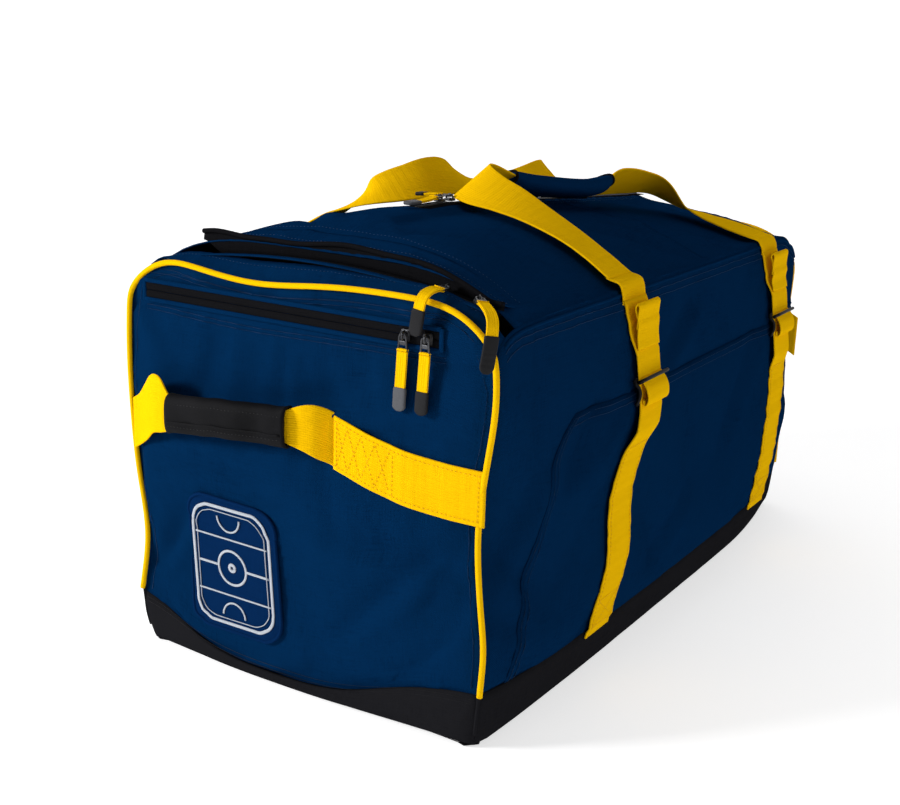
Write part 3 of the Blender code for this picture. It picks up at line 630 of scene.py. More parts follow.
def drape(sheets, frames=18, spare=0.022, cap=0.0065):
    """Cloth simulation of all panels at once: slightly oversize canvas, blown out by its contents."""
    actors = []
    for sheet in sheets:
        nu, nv, _ = sheet.grid.shape
        faces = grid_faces(nu, nv)
        flip = np.cross(
            sheet.grid[1, 0] - sheet.grid[0, 0], sheet.grid[0, 1] - sheet.grid[0, 0]
        ) @ sheet.outward < 0
        if flip:
            faces = [f[::-1] for f in faces]
        seed = rng.normal(0, 1, (nu // 6 + 3, nv // 6 + 3))
        rough = np.array([[bilinear(seed, i / 6, j / 6) for j in range(nv)] for i in range(nu)])
        start = sheet.grid + (rough * sheet.free * 0.0012)[..., None] * sheet.outward
        actor = mesh_object("drape", start.reshape(-1, 3), faces, NAVY)
        group = actor.vertex_groups.new(name="held")
        for index, free in enumerate(sheet.free.reshape(-1)):
            if free < 0.98:
                group.add([index], float(1 - free), "REPLACE")
        cloth = actor.modifiers.new("cloth", "CLOTH")
        settings = cloth.settings
        settings.quality = 5
        settings.mass = 0.25
        settings.tension_stiffness = 14
        settings.compression_stiffness = 9
        settings.shear_stiffness = 7
        settings.bending_stiffness = 0.35
        settings.vertex_group_mass = "held"
        settings.pin_stiffness = 0.8
        settings.shrink_min = -spare
        settings.use_pressure = True
        settings.uniform_pressure_force = 1.6
        settings.effector_weights.gravity = 0.35
        cloth.collision_settings.use_collision = False
        cloth.point_cache.frame_start = 1
        cloth.point_cache.frame_end = frames
        actors.append((sheet, actor))
    scene = bpy.context.scene
    for number in range(1, frames + 1):
        scene.frame_set(number)
    for sheet, actor in actors:
        seen = actor.evaluated_get(bpy.context.evaluated_depsgraph_get())
        co = np.zeros(len(seen.data.vertices) * 3)
        seen.data.vertices.foreach_get("co", co)
        move = co.reshape(sheet.grid.shape) - sheet.grid
        size = np.linalg.norm(move, axis=2, keepdims=True) + 1e-9
        move *= cap * np.tanh(size / cap) / size
        sheet.grid = sheet.grid + move * smooth(sheet.free * 1.6)[..., None]
    for _, actor in actors:
        bpy.data.objects.remove(actor, do_unlink=True)
    scene.frame_set(1)


def bilinear(table, a, b):
    i, j = int(a), int(b)
    return cell_value(table, i, j, a - i, b - j)


def crease(sheet, start, end, width, depth):
    """Press one soft fold line into a sheet between two (u, v) places."""
    a, b = np.array(start, float), np.array(end, float)
    scale = np.array([1.0, 1.0 if sheet.name == "top" else SEAM_Z - BAND_H])
    for i, u in enumerate(sheet.us):
        for j, v in enumerate(sheet.vs):
            p = (np.array([u, v]) - a) * scale
            d = (b - a) * scale
            t = np.clip(p @ d / (d @ d), 0, 1)
            off = p - d * t
            distance = np.hypot(*off)
            if distance > width * 3:
                continue
            side = math.copysign(1, off[0] * d[1] - off[1] * d[0])
            fade = math.sin(math.pi * min(1, max(0.02, t * 0.96 + 0.02))) ** 0.5
            shape = -math.exp(-((distance / width) ** 2)) + 0.6 * math.exp(
                -(((distance - 1.5 * width * side) / width) ** 2)
            )
            sheet.grid[i, j] += sheet.outward * FOLD_DEPTH * depth * shape * fade * min(
                1.0, sheet.free[i, j] * 2
            )


def folds(sides, ends, top):
    """The deeper soft folds, where straps pull and goods press."""
    rows = [
        (ends["near"], (0.05, 0.16), (0.185, 0.42), 0.012, 0.0032),
        (ends["near"], (-0.19, 0.12), (-0.13, 0.36), 0.010, 0.0034)
    ]
    rows += [
        (ends["near"], (0.03, 0.44), (0.19, 0.33), 0.011, 0.0026),
        (ends["near"], (-0.05, 0.66), (0.08, 0.80), 0.012, 0.0022)
    ]
    rows += [
        (ends["far"], (-0.15, 0.20), (-0.05, 0.55), 0.012, 0.0030),
        (ends["far"], (0.04, 0.30), (0.17, 0.15), 0.012, 0.0028)
    ]
    for side in sides.values():
        rows += [
            (side, (-0.395, 0.30), (-0.33, 0.62), 0.012, 0.0034),
            (side, (-0.30, 0.50), (-0.23, 0.74), 0.011, 0.0026)
        ]
        rows += [
            (side, (-0.10, 0.74), (0.02, 0.92), 0.012, 0.0026),
            (side, (0.06, 0.34), (0.17, 0.70), 0.013, 0.0030)
        ]
        rows += [
            (side, (0.29, 0.25), (0.36, 0.66), 0.012, 0.0036),
            (side, (-0.12, 0.12), (-0.02, 0.34), 0.012, 0.0026)
        ]
    for sign in (-1, 1):
        rows += [
            (top, (sign * 0.05, -0.31), (sign * 0.15, -0.21), 0.011, 0.0026),
            (top, (sign * 0.10, -0.08), (sign * 0.18, 0.04), 0.012, 0.0028)
        ]
        rows += [
            (top, (sign * 0.08, 0.05), (sign * 0.17, 0.18), 0.012, 0.0030),
            (top, (sign * 0.06, 0.30), (sign * 0.16, 0.36), 0.010, 0.0034)
        ]
    return rows


# ---------------------------------------------------------------- camera, lights and floor


def stage_and_camera():
    scene = bpy.context.scene
    data = bpy.data.cameras.new("camera")
    data.sensor_width = 36.0
    data.lens = 54.02
    camera = bpy.data.objects.new("camera", data)
    scene.collection.objects.link(camera)
    yaw, pitch, roll = math.radians(31.7), math.radians(15.77), math.radians(1.89)
    turn = Matrix.Rotation(yaw, 4, "Z") @ Matrix.Rotation(math.pi / 2 - pitch, 4, "X")
    turn = turn @ Matrix.Rotation(roll, 4, "Z")
    camera.matrix_world = Matrix.Translation((0.736, -1.334, 0.627)) @ turn
    scene.camera = camera
    scene.view_settings.view_transform = "Standard"

    made, tree, shader = shader_of("studio floor", (0.75, 0.75, 0.76), 0.9, specular=0.1)
    place = node(tree, "ShaderNodeTexCoord").outputs["Object"]
    shade = tint(tree, blotch(tree, place, 1.5), ((0.74, 0.74, 0.75), (0.77, 0.77, 0.775)))
    tree.links.new(shade, shader.inputs["Base Color"])
    shader.inputs["Emission Color"].default_value = (1.0, 1.0, 1.0, 1.0)
    shader.inputs["Emission Strength"].default_value = 0.62
    size, bend = 5.0, 1.6
    rows = [(-size, 0.0), (3.0, 0.0)]
    rows += [
        (3.0 + bend * math.sin(a), bend * (1 - math.cos(a))) for a in np.linspace(0.1, math.pi / 2, 12)
    ]
    rows.append((3.0 + bend, 5.0))
    back = Matrix.Rotation(yaw, 3, "Z")
    grid = np.array([[back @ Vector((x, y, z)) for y, z in rows] for x in (-7.0, 7.0)])
    floor = mesh_object("studio_floor", grid.reshape(-1, 3), grid_faces(2, len(rows)), made)

    world = bpy.data.worlds.new("studio")
    world.use_nodes = True
    world.node_tree.nodes["Background"].inputs[0].default_value = (1.0, 1.0, 1.0, 1.0)
    world.node_tree.nodes["Background"].inputs[1].default_value = 0.18
    scene.world = world

    def area(name, where, target, power, size):
        lamp = bpy.data.lights.new(name, "AREA")
        lamp.energy, lamp.size = power, size
        made = bpy.data.objects.new(name, lamp)
        scene.collection.objects.link(made)
        made.location = where
        made.rotation_euler = (Vector(target) - Vector(where)).to_track_quat("-Z", "Y").to_euler()

    area("key", (-2.3, -2.7, 1.45), (0, -0.3, 0.2), 128, 0.8)
    area("top", (-0.6, 0.4, 3.0), (0, 0, 0.2), 14, 2.4)
    area("fill", (2.8, -1.0, 1.4), (0, 0, 0.2), 19, 1.8)


# ---------------------------------------------------------------- the bag's cloth


def body_cloth(sides, ends, top):
    for name, sign in (("right", 1), ("left", -1)):
        sheet = sides[name]
        panel = cloth_piece(f"side_cloth_{name}", sheet.grid, NAVY, flip=sign < 0, lining=NAVY_IN)
        finish_piece(panel, "root", [f"side_panel_{name}"])
    for name, sign in (("near", -1), ("far", 1)):
        panel = cloth_piece(f"end_cloth_{name}", ends[name].grid, NAVY, flip=sign > 0, lining=NAVY_IN)
        finish_piece(panel, "root", [f"end_panel_{name}"])

    us, vs, grid = top.us, top.vs, top.grid

    def part(name, low_u, high_u, low_v, high_v):
        keep_u = (us > low_u - 1e-6) & (us < high_u + 1e-6)
        keep_v = (vs > low_v - 1e-6) & (vs < high_v + 1e-6)
        return cloth_piece(name, grid[keep_u][:, keep_v], NAVY, lining=NAVY_IN)

    finish_piece(
        part("top_cloth_strip", -HALF_W, HALF_W, -HALF_L, CROSS_NEAR), "root",
        ["top_strip_near"]
    )
    finish_piece(
        part("top_cloth_near", -HALF_W, HALF_W, CROSS_FAR, LID_NEAR), "root",
        ["top_panel_near"]
    )
    finish_piece(
        part("top_cloth_far", -HALF_W, HALF_W, LID_FAR, HALF_L), "root", ["top_panel_far"]
    )
    middle = (LID_NEAR + LID_FAR) / 2
    for name, low, high in (("right", LID_EDGE, HALF_W), ("left", -HALF_W, -LID_EDGE)):
        for where, start, end in (("near", LID_NEAR, middle), ("far", middle, LID_FAR)):
            flap = part(f"lid_cloth_{name}_{where}", low, high, start, end)
            blend_to_lid(flap, where)
            if where == "near":
                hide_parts(f"lid_flap_{name}")


def blend_to_lid(piece, where):
    """Cloth beside the main zip, with its placement baked into its mesh."""
    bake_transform(piece)


def finish_piece(piece, body, nodes=()):
    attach(piece, body)
    if nodes:
        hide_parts(*nodes)
    return piece


def tucked(points, radius):
    """A rectangle's outline with its four corners drawn in to a radius."""
    reach = np.array([HALF_W, HALF_L]) - radius
    past = np.maximum(abs(points) - reach, 0.0)
    length = np.maximum(np.hypot(past[:, 0], past[:, 1]), 1e-9)
    kept = np.where((past.min(1) > 0) & (length > radius), radius / length, 1.0)
    return np.where(past > 0, np.sign(points) * (reach + past * kept[:, None]), points)


def corner_radius(z):
    """The tub's corners are rounder towards the floor."""
    return 0.003 + 0.030 * (1 - min(1.0, z / BAND_H)) ** 1.8


def base_tub():
    """Black tub: rounded at the floor, standing a little proud of the canvas, with a sagging hem."""
    ys = HALF_L * np.sin(np.linspace(-math.pi / 2, math.pi / 2, 71))
    xs = HALF_W * np.sin(np.linspace(-math.pi / 2, math.pi / 2, 45))

    def outline(z, inset):
        ring = [(side_x(y, z) - inset, y, z) for y in ys[:-1]]
        ring += [(x, end_y(x, z) - inset, z) for x in xs[::-1][:-1]]
        ring += [(inset - side_x(y, z), y, z) for y in ys[::-1][:-1]]
        ring += [(x, inset - end_y(x, z), z) for x in xs[:-1]]
        ring = np.array(ring)
        squeeze = np.array([1 - inset / HALF_W * 0.6, 1 - inset / HALF_L * 0.6, 1])
        return ring * squeeze

    levels = [
        (0.0, 0.016), (0.0008, 0.0105), (0.0030, 0.0052), (0.007, 0.0015), (0.013, -0.0006),
        (0.022, -0.0012)
    ]
    levels += [
        (0.032, -0.0012), (0.042, -0.0012), (0.050, -0.0012), (BAND_H + 0.001, -0.0010),
        (BAND_H + 0.0016, -0.0002)
    ]
    levels += [
        (BAND_H + 0.0014, 0.0012), (0.042, 0.0016), (0.022, 0.0018), (0.010, 0.0028), (0.0042, 0.016)
    ]
    rings = []
    sagging = np.ones(2 * (len(ys) - 1) + 2 * (len(xs) - 1))
    sagging[1 - len(xs):] = hem_z(xs[:-1]) / BAND_H
    for z, inset in levels:
        ring = outline(max(z, 0.012), inset)
        ring[:, :2] = tucked(ring[:, :2], corner_radius(z))
        ring[:, 2] = z * sagging
        rings.append(ring)
    rings = np.array(rings)
    turn = np.arctan2(rings[..., 1], rings[..., 0])
    ripple = 0.0012 * np.sin(turn * 17 + 1) + 0.0010 * np.sin(turn * 31 + 2.2)
    share = np.clip(rings[..., 2] / BAND_H, 0, 1)
    rings[..., 0] *= 1 + ripple * share * 3
    rings[..., 1] *= 1 + ripple * share * 1.5
    rings = settle(rings)
    count = rings.shape[1]
    points = rings.reshape(-1, 3)
    faces = closed_rings(len(levels), count)
    run = np.linspace(0, 2.4, count)
    uvs = [(run[k], levels[i][0]) for i in range(len(levels)) for k in range(count)]
    tub = mesh_object("base_cloth", points, faces, BLACK, uvs)
    orient(tub)
    finish_piece(tub, "root", ["base_tub"])
    lines = []
    ring = rings[7]
    for offset in (0.0, 0.0045):
        path = ring + np.array([0, 0, BAND_H - 0.0035 - offset - 0.042])
        path = np.vstack([path, path[:1]])
        away = path * np.array([1, 0.45, 0])
        lines.append((path, away / np.linalg.norm(away, axis=1)[:, None]))
    finish_piece(stitches("base_hem_stitches", lines, THREAD_BLACK), "root")
    seams = [corner_seam(sx, sy) for sx in (-1, 1) for sy in (-1, 1)]
    finish_piece(join("base_corner_seams", seams), "root")


def corner_seam(sx, sy):
    """Corded seam that carries the piping's line down the tub's corner."""
    knots = [(HALF_W + 0.0004, HALF_L + 0.0004, BAND_H + 0.001)]
    for z in (0.045, 0.034, 0.024, 0.016):
        tuck = corner_radius(z) * CORNER_GAP
        knots.append((HALF_W - tuck, HALF_L - tuck, z))
    path = spline([(sx * x, sy * y, z) for x, y, z in knots], 0.004)
    return tube("corner_seam", settle(path), 0.0020, BLACK, 8)


def overlay_front(v):
    """The overlay's front edge at a share of its height: sloped, and curving back at the top."""
    return -0.375 + 0.065 * v + 0.035 * max(0.0, v - 0.8) ** 2 / 0.04


def overlays(sides):
    for name, sign in (("right", 1), ("left", -1)):
        sheet = sides[name]
        rows = []
        for u in np.linspace(0, 1, 60):
            row = []
            for v in np.linspace(0, 1, 30):
                z = BAND_H + OVERLAY_FOOT + v * OVERLAY_HIGH
                y = overlay_front(v) + u * (OVERLAY_FAR - overlay_front(v))
                share = share_of_height(z, seam_z(y))
                row.append(sheet.at(y, share) + sheet.normal(y, share) * 0.0012)
            rows.append(row)
        grid = np.array(rows)
        piece = cloth_piece(f"side_overlay_cloth_{name}", grid, NAVY, 0.0010, flip=sign < 0)
        finish_piece(piece, "root", [f"side_overlay_{name}"])
        lines = []
        for inset in (0.004, 0.010):
            path = []
            for v in np.linspace(0, 0.985, 50):
                path.append((inset, v * OVERLAY_HIGH + BAND_H + OVERLAY_FOOT))
            for u in np.linspace(0, 1, 90):
                path.append((u, BAND_H + OVERLAY_FOOT + OVERLAY_HIGH - inset))
            pairs = []
            for k, (a, z) in enumerate(path):
                front = overlay_front((z - BAND_H - OVERLAY_FOOT) / OVERLAY_HIGH)
                y = front + inset if k < 50 else front + inset + a * (0.385 - front)
                pairs.append((y, share_of_height(z, seam_z(y))))
            points, normals = sheet.line(pairs, 0.0014)
            lines.append((points, normals))
        finish_piece(stitches(f"side_overlay_stitches_{name}", lines, THREAD_BLUE), "root")


def felled_seams(sides):
    """Double-stitched ridge where the top meets each long side."""
    ridges, lines = [], []
    for name, sheet in sides.items():
        ys = np.linspace(-HALF_L + 0.012, HALF_L - 0.012, 120)
        points, _ = sheet.line([(y, 0.985) for y in ys], 0.0008)
        ridges.append(tube("felled_" + name, points, 0.0019, NAVY, 8))
        for share in (0.968, 0.948):
            lines.append(sheet.line([(y, share) for y in ys], 0.0003))
    finish_piece(join("felled_seams", ridges), "root")
    finish_piece(stitches("felled_seam_stitches", lines, THREAD_BLUE), "root")


def piping(ends):
    """Corded edge on each end, with the row of stitches that holds it."""
    for name, sign in (("near", -1), ("far", 1)):
        out = 0.0017
        knots = []
        foot_to_corner = np.linspace(BAND_H, BAND_H + 0.9 * (end_top(HALF_W, sign) - BAND_H), 24)
        for z in foot_to_corner:
            knots.append((HALF_W + out, z))
        for a in np.linspace(6, 174, 60):
            cosine = math.cos(math.radians(a))
            x = HALF_W * math.copysign(abs(cosine) ** 0.40, cosine)
            before, after = max(-HALF_W, x - 0.0005), min(HALF_W, x + 0.0005)
            slope = (end_top(after, sign) - end_top(before, sign)) / 0.001
            outward = np.array([-slope, 1.0]) / math.hypot(slope, 1.0)
            knots.append((x + outward[0] * out, end_top(x, sign) + outward[1] * out))
        for z in foot_to_corner[::-1]:
            knots.append((-HALF_W - out, z))
        path = np.array([(x, sign * (HALF_L + out), z) for x, z in knots])
        path = settle(resample(path, 0.006))
        smoothed = path.copy()
        for _ in range(4):
            smoothed[1:-1] = (smoothed[:-2] + 2 * smoothed[1:-1] + smoothed[2:]) / 4
        cord = tube(f"piping_cord_{name}", smoothed, 0.0027, PIPING, 14)
        finish_piece(cord, "root", [f"piping_{name}"])
        sheet = ends[name]
        pairs = [(0.955 * HALF_W, v) for v in np.linspace(0.02, 0.86, 40)]
        pairs += [(x, 0.972) for x in np.linspace(0.91 * HALF_W, -0.91 * HALF_W, 60)]
        pairs += [(-0.955 * HALF_W, v) for v in np.linspace(0.86, 0.02, 40)]
        line = sheet.line(pairs, 0.0002)
        finish_piece(stitches(f"piping_stitches_{name}", [line], THREAD_BLUE, radius=0.0003), "root")


# ---------------------------------------------------------------- zips


def coil(name, path, across, normal, width=0.0026):
    """A row of zip coil turns along a path, each one lying across it."""
    both = resample(np.hstack([np.asarray(path), np.asarray(across), np.asarray(normal)]), COIL_PITCH)
    points, faces = [], []
    for i in range(len(both) - 1):
        p, side, up = both[i, :3], both[i, 3:6], both[i, 6:9]
        ahead = (both[i + 1, :3] - p) * 0.40
        base = len(points)
        ring = [
            -side * width, -side * width * 0.7 + up * 0.0008, side * width * 0.7 + up * 0.0008,
            side * width
        ]
        points += [p + r - ahead * 0.9 for r in ring] + [p + r + ahead * 0.9 for r in ring]
        points += [p - side * width * 0.6 + up * 0.0012, p + side * width * 0.6 + up * 0.0012]
        low, high, top_a, top_b = base, base + 4, base + 8, base + 9
        faces += [(low, low + 1, top_a, high + 1, high), (low + 1, low + 2, top_b, top_a)]
        faces += [(top_a, top_b, high + 2, high + 1), (low + 2, low + 3, high + 3, high + 2, top_b)]
        faces += [
            (low + 3, low + 2, low + 1, low), (high, high + 1, high + 2, high + 3),
            (low, high, high + 3, low + 3)
        ]
    return mesh_object(name, points, faces, COIL)


def strip(name, path, half, up, finish, crown=0.0004, thickness=0.0009):
    """A narrow tape along a path, half wide on each side, slightly crowned."""
    path, half, up = (np.asarray(v, float) for v in (path, half, up))
    shares = [-1, -0.97, -0.5, 0, 0.5, 0.97, 1]
    top = [(s, (0.3 if abs(s) == 1 else 1.0) * thickness + crown * (1 - s * s)) for s in shares]
    section = top + [(1, 0.0), (-1, 0.0)]
    return sweep(name, path, half, up, section, finish)


def end_zip(sheet):
    """Water-resistant zip: two flat coated halves that meet in a line, between two hems."""
    xs = np.linspace(END_ZIP_LOW.x, END_ZIP_HIGH.x, 60)
    level = END_ZIP_LOW.y + 0.0014
    parts = []
    for shift in (-0.0037, 0.0037):
        path = [(x, level, END_ZIP_Z + shift) for x in xs]
        parts.append(strip("tape", path, [(0, 0, 0.0035)] * 60, [(0, -1, 0)] * 60, TAPE))
    tape = join("end_zip_tape", parts)
    finish_piece(tape, "root", ["end_zip"])
    hems, lines = [], []
    for side in (-1, 1):
        z = END_ZIP_Z + side * 0.0093
        path = [(x, level - 0.0002, z) for x in xs]
        hems.append(strip("hem", path, [(0, 0, 0.0022)] * 60, [(0, -1, 0)] * 60, NAVY, 0.0008, 0.0012))
        for off in (0.0060, 0.0105):
            pairs = [(x, end_share(x, z + side * off)) for x in xs]
            lines.append(sheet.line(pairs, 0.0003))
    for x in (END_ZIP_LOW.x, END_ZIP_HIGH.x):
        path = [(x, level - 0.0002, END_ZIP_Z + h) for h in np.linspace(-0.010, 0.010, 8)]
        hems.append(strip("hem", path, [(0.0022, 0, 0)] * 8, [(0, -1, 0)] * 8, NAVY, 0.0008, 0.0012))
    finish_piece(join("end_zip_hems", hems), "root")
    finish_piece(stitches("end_zip_stitches", lines, THREAD_BLUE), "root")


def track_z(x):
    return TRACK_TOP - TRACK_RADIUS + math.sqrt(TRACK_RADIUS**2 - x * x)


def cross_zip(top):
    """Coil zip across the bag, in the slot between the strip and the raised flap."""
    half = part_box("cross_zip")[1].x
    xs = np.linspace(-half, half, 80)
    y = (CROSS_NEAR + CROSS_FAR) / 2
    sink = smooth((-xs - 0.150) / 0.035) + smooth((xs - 0.180) / 0.012)
    drop = [0.0012 + k * max(0.0, track_z(x) - float(top_z(x, y)) + 0.0010) for x, k in zip(xs, sink)]
    path = np.array([(x, y, track_z(x) - d) for x, d in zip(xs, drop)])
    ups = np.array([(x / TRACK_RADIUS, 0, math.sqrt(1 - (x / TRACK_RADIUS) ** 2)) for x in xs])
    tapes = []
    for side in (-1, 1):
        middle = path + np.array([0, side * 0.0062, 0])
        tapes.append(strip("tape", middle, [(0, 0.0048, 0)] * 80, ups, TAPE, 0.0002, 0.0007))
    tapes.append(coil("coil", path + ups * -0.0002, [(0, 1, 0)] * 80, ups))
    finish_piece(join("cross_zip_chain", tapes), "root", ["cross_zip"])
    fold = path + np.array([0, -0.0092, 0.0010])
    hem = strip("cross_zip_hem", fold, [(0, 0.0036, 0)] * 80, ups, NAVY, 0.0004, 0.0012)
    finish_piece(hem, "root")

    edge_rows, lip = [], []
    for x in np.linspace(-0.140, half * 1.02, 80):
        ripple = 0.0016 * math.sin(x * 31 + 0.6) + 0.0010 * math.sin(x * 67)
        front_y = CROSS_FAR + 0.0008 + 0.001 * math.sin(x * 23)
        stand = 0.007 * float(smooth((-0.075 - x) / 0.055)) + ripple
        crest = max(
            track_z(min(half, abs(x))) + 0.0042, float(top_z(x, front_y + 0.006)) + 0.0015
        ) + stand
        row = []
        for t in np.linspace(0, 1, 9):
            yy = front_y + t * 0.034
            ground = top.at(x, yy)[2] + 0.0006
            shape = (1 - t) ** 1.7
            row.append((x, yy, ground * (1 - shape) + crest * shape))
        edge_rows.append(row)
        lip.append((x, front_y, crest - 0.0006))
    flap = cloth_piece("cross_zip_flap_cloth", np.array(edge_rows), NAVY, 0.0012)
    finish_piece(flap, "root", ["cross_zip_flap"])
    lip = np.array(lip)
    rolls = [tube("roll", lip, 0.0024, TAPE, 10)]
    # Painted shade: a near-black sheet hung from the flap's lip down to the zip chain stands in for the
    # shadow under the raised flap.
    painted_shade_sheet = []
    for x, y_at, z in lip:
        drop = (z - track_z(min(half, abs(x))) + 0.0014) * (
            0.35 + 0.65 * float(smooth((x + 0.142) / 0.03))
        )
        painted_shade_sheet.append([(x, y_at + 0.0012 - 0.0014 * t, z - drop * t) for t in np.linspace(0, 1, 5)])
    painted_shade_sheet = np.array(painted_shade_sheet)
    rolls.append(cloth_piece("painted_shade_sheet", painted_shade_sheet, TAPE, 0.0008, flip=True))
    bake_modifiers(rolls[1])
    finish_piece(join("cross_zip_flap_binding", rolls), "root")
    lines = []
    for back in (0.012, 0.040):
        points = np.array([top.at(x, CROSS_FAR + back + 0.004) for x in np.linspace(-0.138, 0.185, 80)])
        if back < 0.02:
            points = np.array([(row[3][0], row[3][1], row[3][2] + 0.0004) for row in edge_rows])
        lines.append((points, np.tile([0, -0.2, 1.0], (80, 1))))
    strip_line = np.array([top.at(x, CROSS_NEAR - 0.0035) for x in np.linspace(-0.18, 0.18, 80)])
    lines.append((strip_line, np.tile([0, -0.2, 1.0], (80, 1))))
    finish_piece(stitches("cross_zip_stitches", lines, THREAD_BLUE), "root")


def bake_modifiers(piece):
    seen = piece.evaluated_get(bpy.context.evaluated_depsgraph_get())
    mesh = bpy.data.meshes.new_from_object(seen)
    piece.modifiers.clear()
    piece.data = mesh


def main_zip(top):
    """Tapes and coil on both lid edges; the zip's two ends stay with the bag."""
    middle = (LID_NEAR + LID_FAR) / 2
    spans = (
        ("end_near", -0.215, LID_NEAR), ("near", LID_NEAR, middle), ("far", middle, LID_FAR),
        ("end_far", LID_FAR, 0.302)
    )
    for name, low, high in spans:
        for side, sign in (("right", 1), ("left", -1)):
            ys = np.linspace(low, high, 40)
            lift = 0.0004 if name in ("near", "far") else 0.0010
            path = np.array([(sign * 0.0064, y, float(ridge_z(y)) - 0.0016 + lift) for y in ys])
            tape = strip("tape", path, [(0.0058, 0, 0)] * 40, [(0, 0, 1)] * 40, TAPE, 0.0001, 0.0009)
            teeth_at = path + np.array([-sign * 0.0046, 0, 0.0005])
            teeth = coil("teeth", teeth_at, [(1, 0, 0)] * 40, [(0, 0, 1)] * 40, width=0.0015)
            piece = join(f"main_zip_{side}_{name}", [tape, teeth])
            if name in ("near", "far"):
                blend_to_lid(piece, name)
                if name == "near":
                    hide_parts(f"main_zip_tape_{side}")
            else:
                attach(piece, "root")
    for side, sign in (("right", 1), ("left", -1)):
        for where, low, high in (("near", LID_NEAR, middle), ("far", middle, LID_FAR)):
            lines = [
                (
                    [top.at(sign * (LID_EDGE + 0.0035 + off), y) for y in np.linspace(low, high, 60)],
                    [(0, 0, 1)] * 60
                )
                for off in (0.0, 0.0050)
            ]
            row = stitches(f"lid_stitches_{side}_{where}", lines, THREAD_BLUE)
            blend_to_lid(row, where)


# ---------------------------------------------------------------- sliders and pulls


def prism(name, outline, axes, origin, low, high, finish, bevel=0.0004):
    """Extrude an outline of (a, b) pairs along the third axis, with softened edges."""
    a, b, c = axes
    points = [origin + a * p + b * q + c * level for level in (low, high) for p, q in outline]
    count = len(outline)
    faces = [tuple(range(count))[::-1], tuple(range(count, 2 * count))]
    faces += [(k, (k + 1) % count, count + (k + 1) % count, count + k) for k in range(count)]
    made = mesh_object(name, points, faces, finish)
    orient(made)
    edge = made.modifiers.new("bevel", "BEVEL")
    edge.width = bevel
    edge.segments = 2
    edge.limit_method = "ANGLE"
    made.data.shade_flat()
    bake_modifiers(made)
    return made


def rounded(width, height, corner, steps=4):
    outline = []
    for sx, sy, start in ((1, 1, 0), (-1, 1, 90), (-1, -1, 180), (1, -1, 270)):
        for k in range(steps + 1):
            turn = math.radians(start + 90 * k / steps)
            outline.append(
                (
                    sx * (width / 2 - corner) + corner * math.cos(turn),
                    sy * (height / 2 - corner) + corner * math.sin(turn)
                )
            )
    return outline


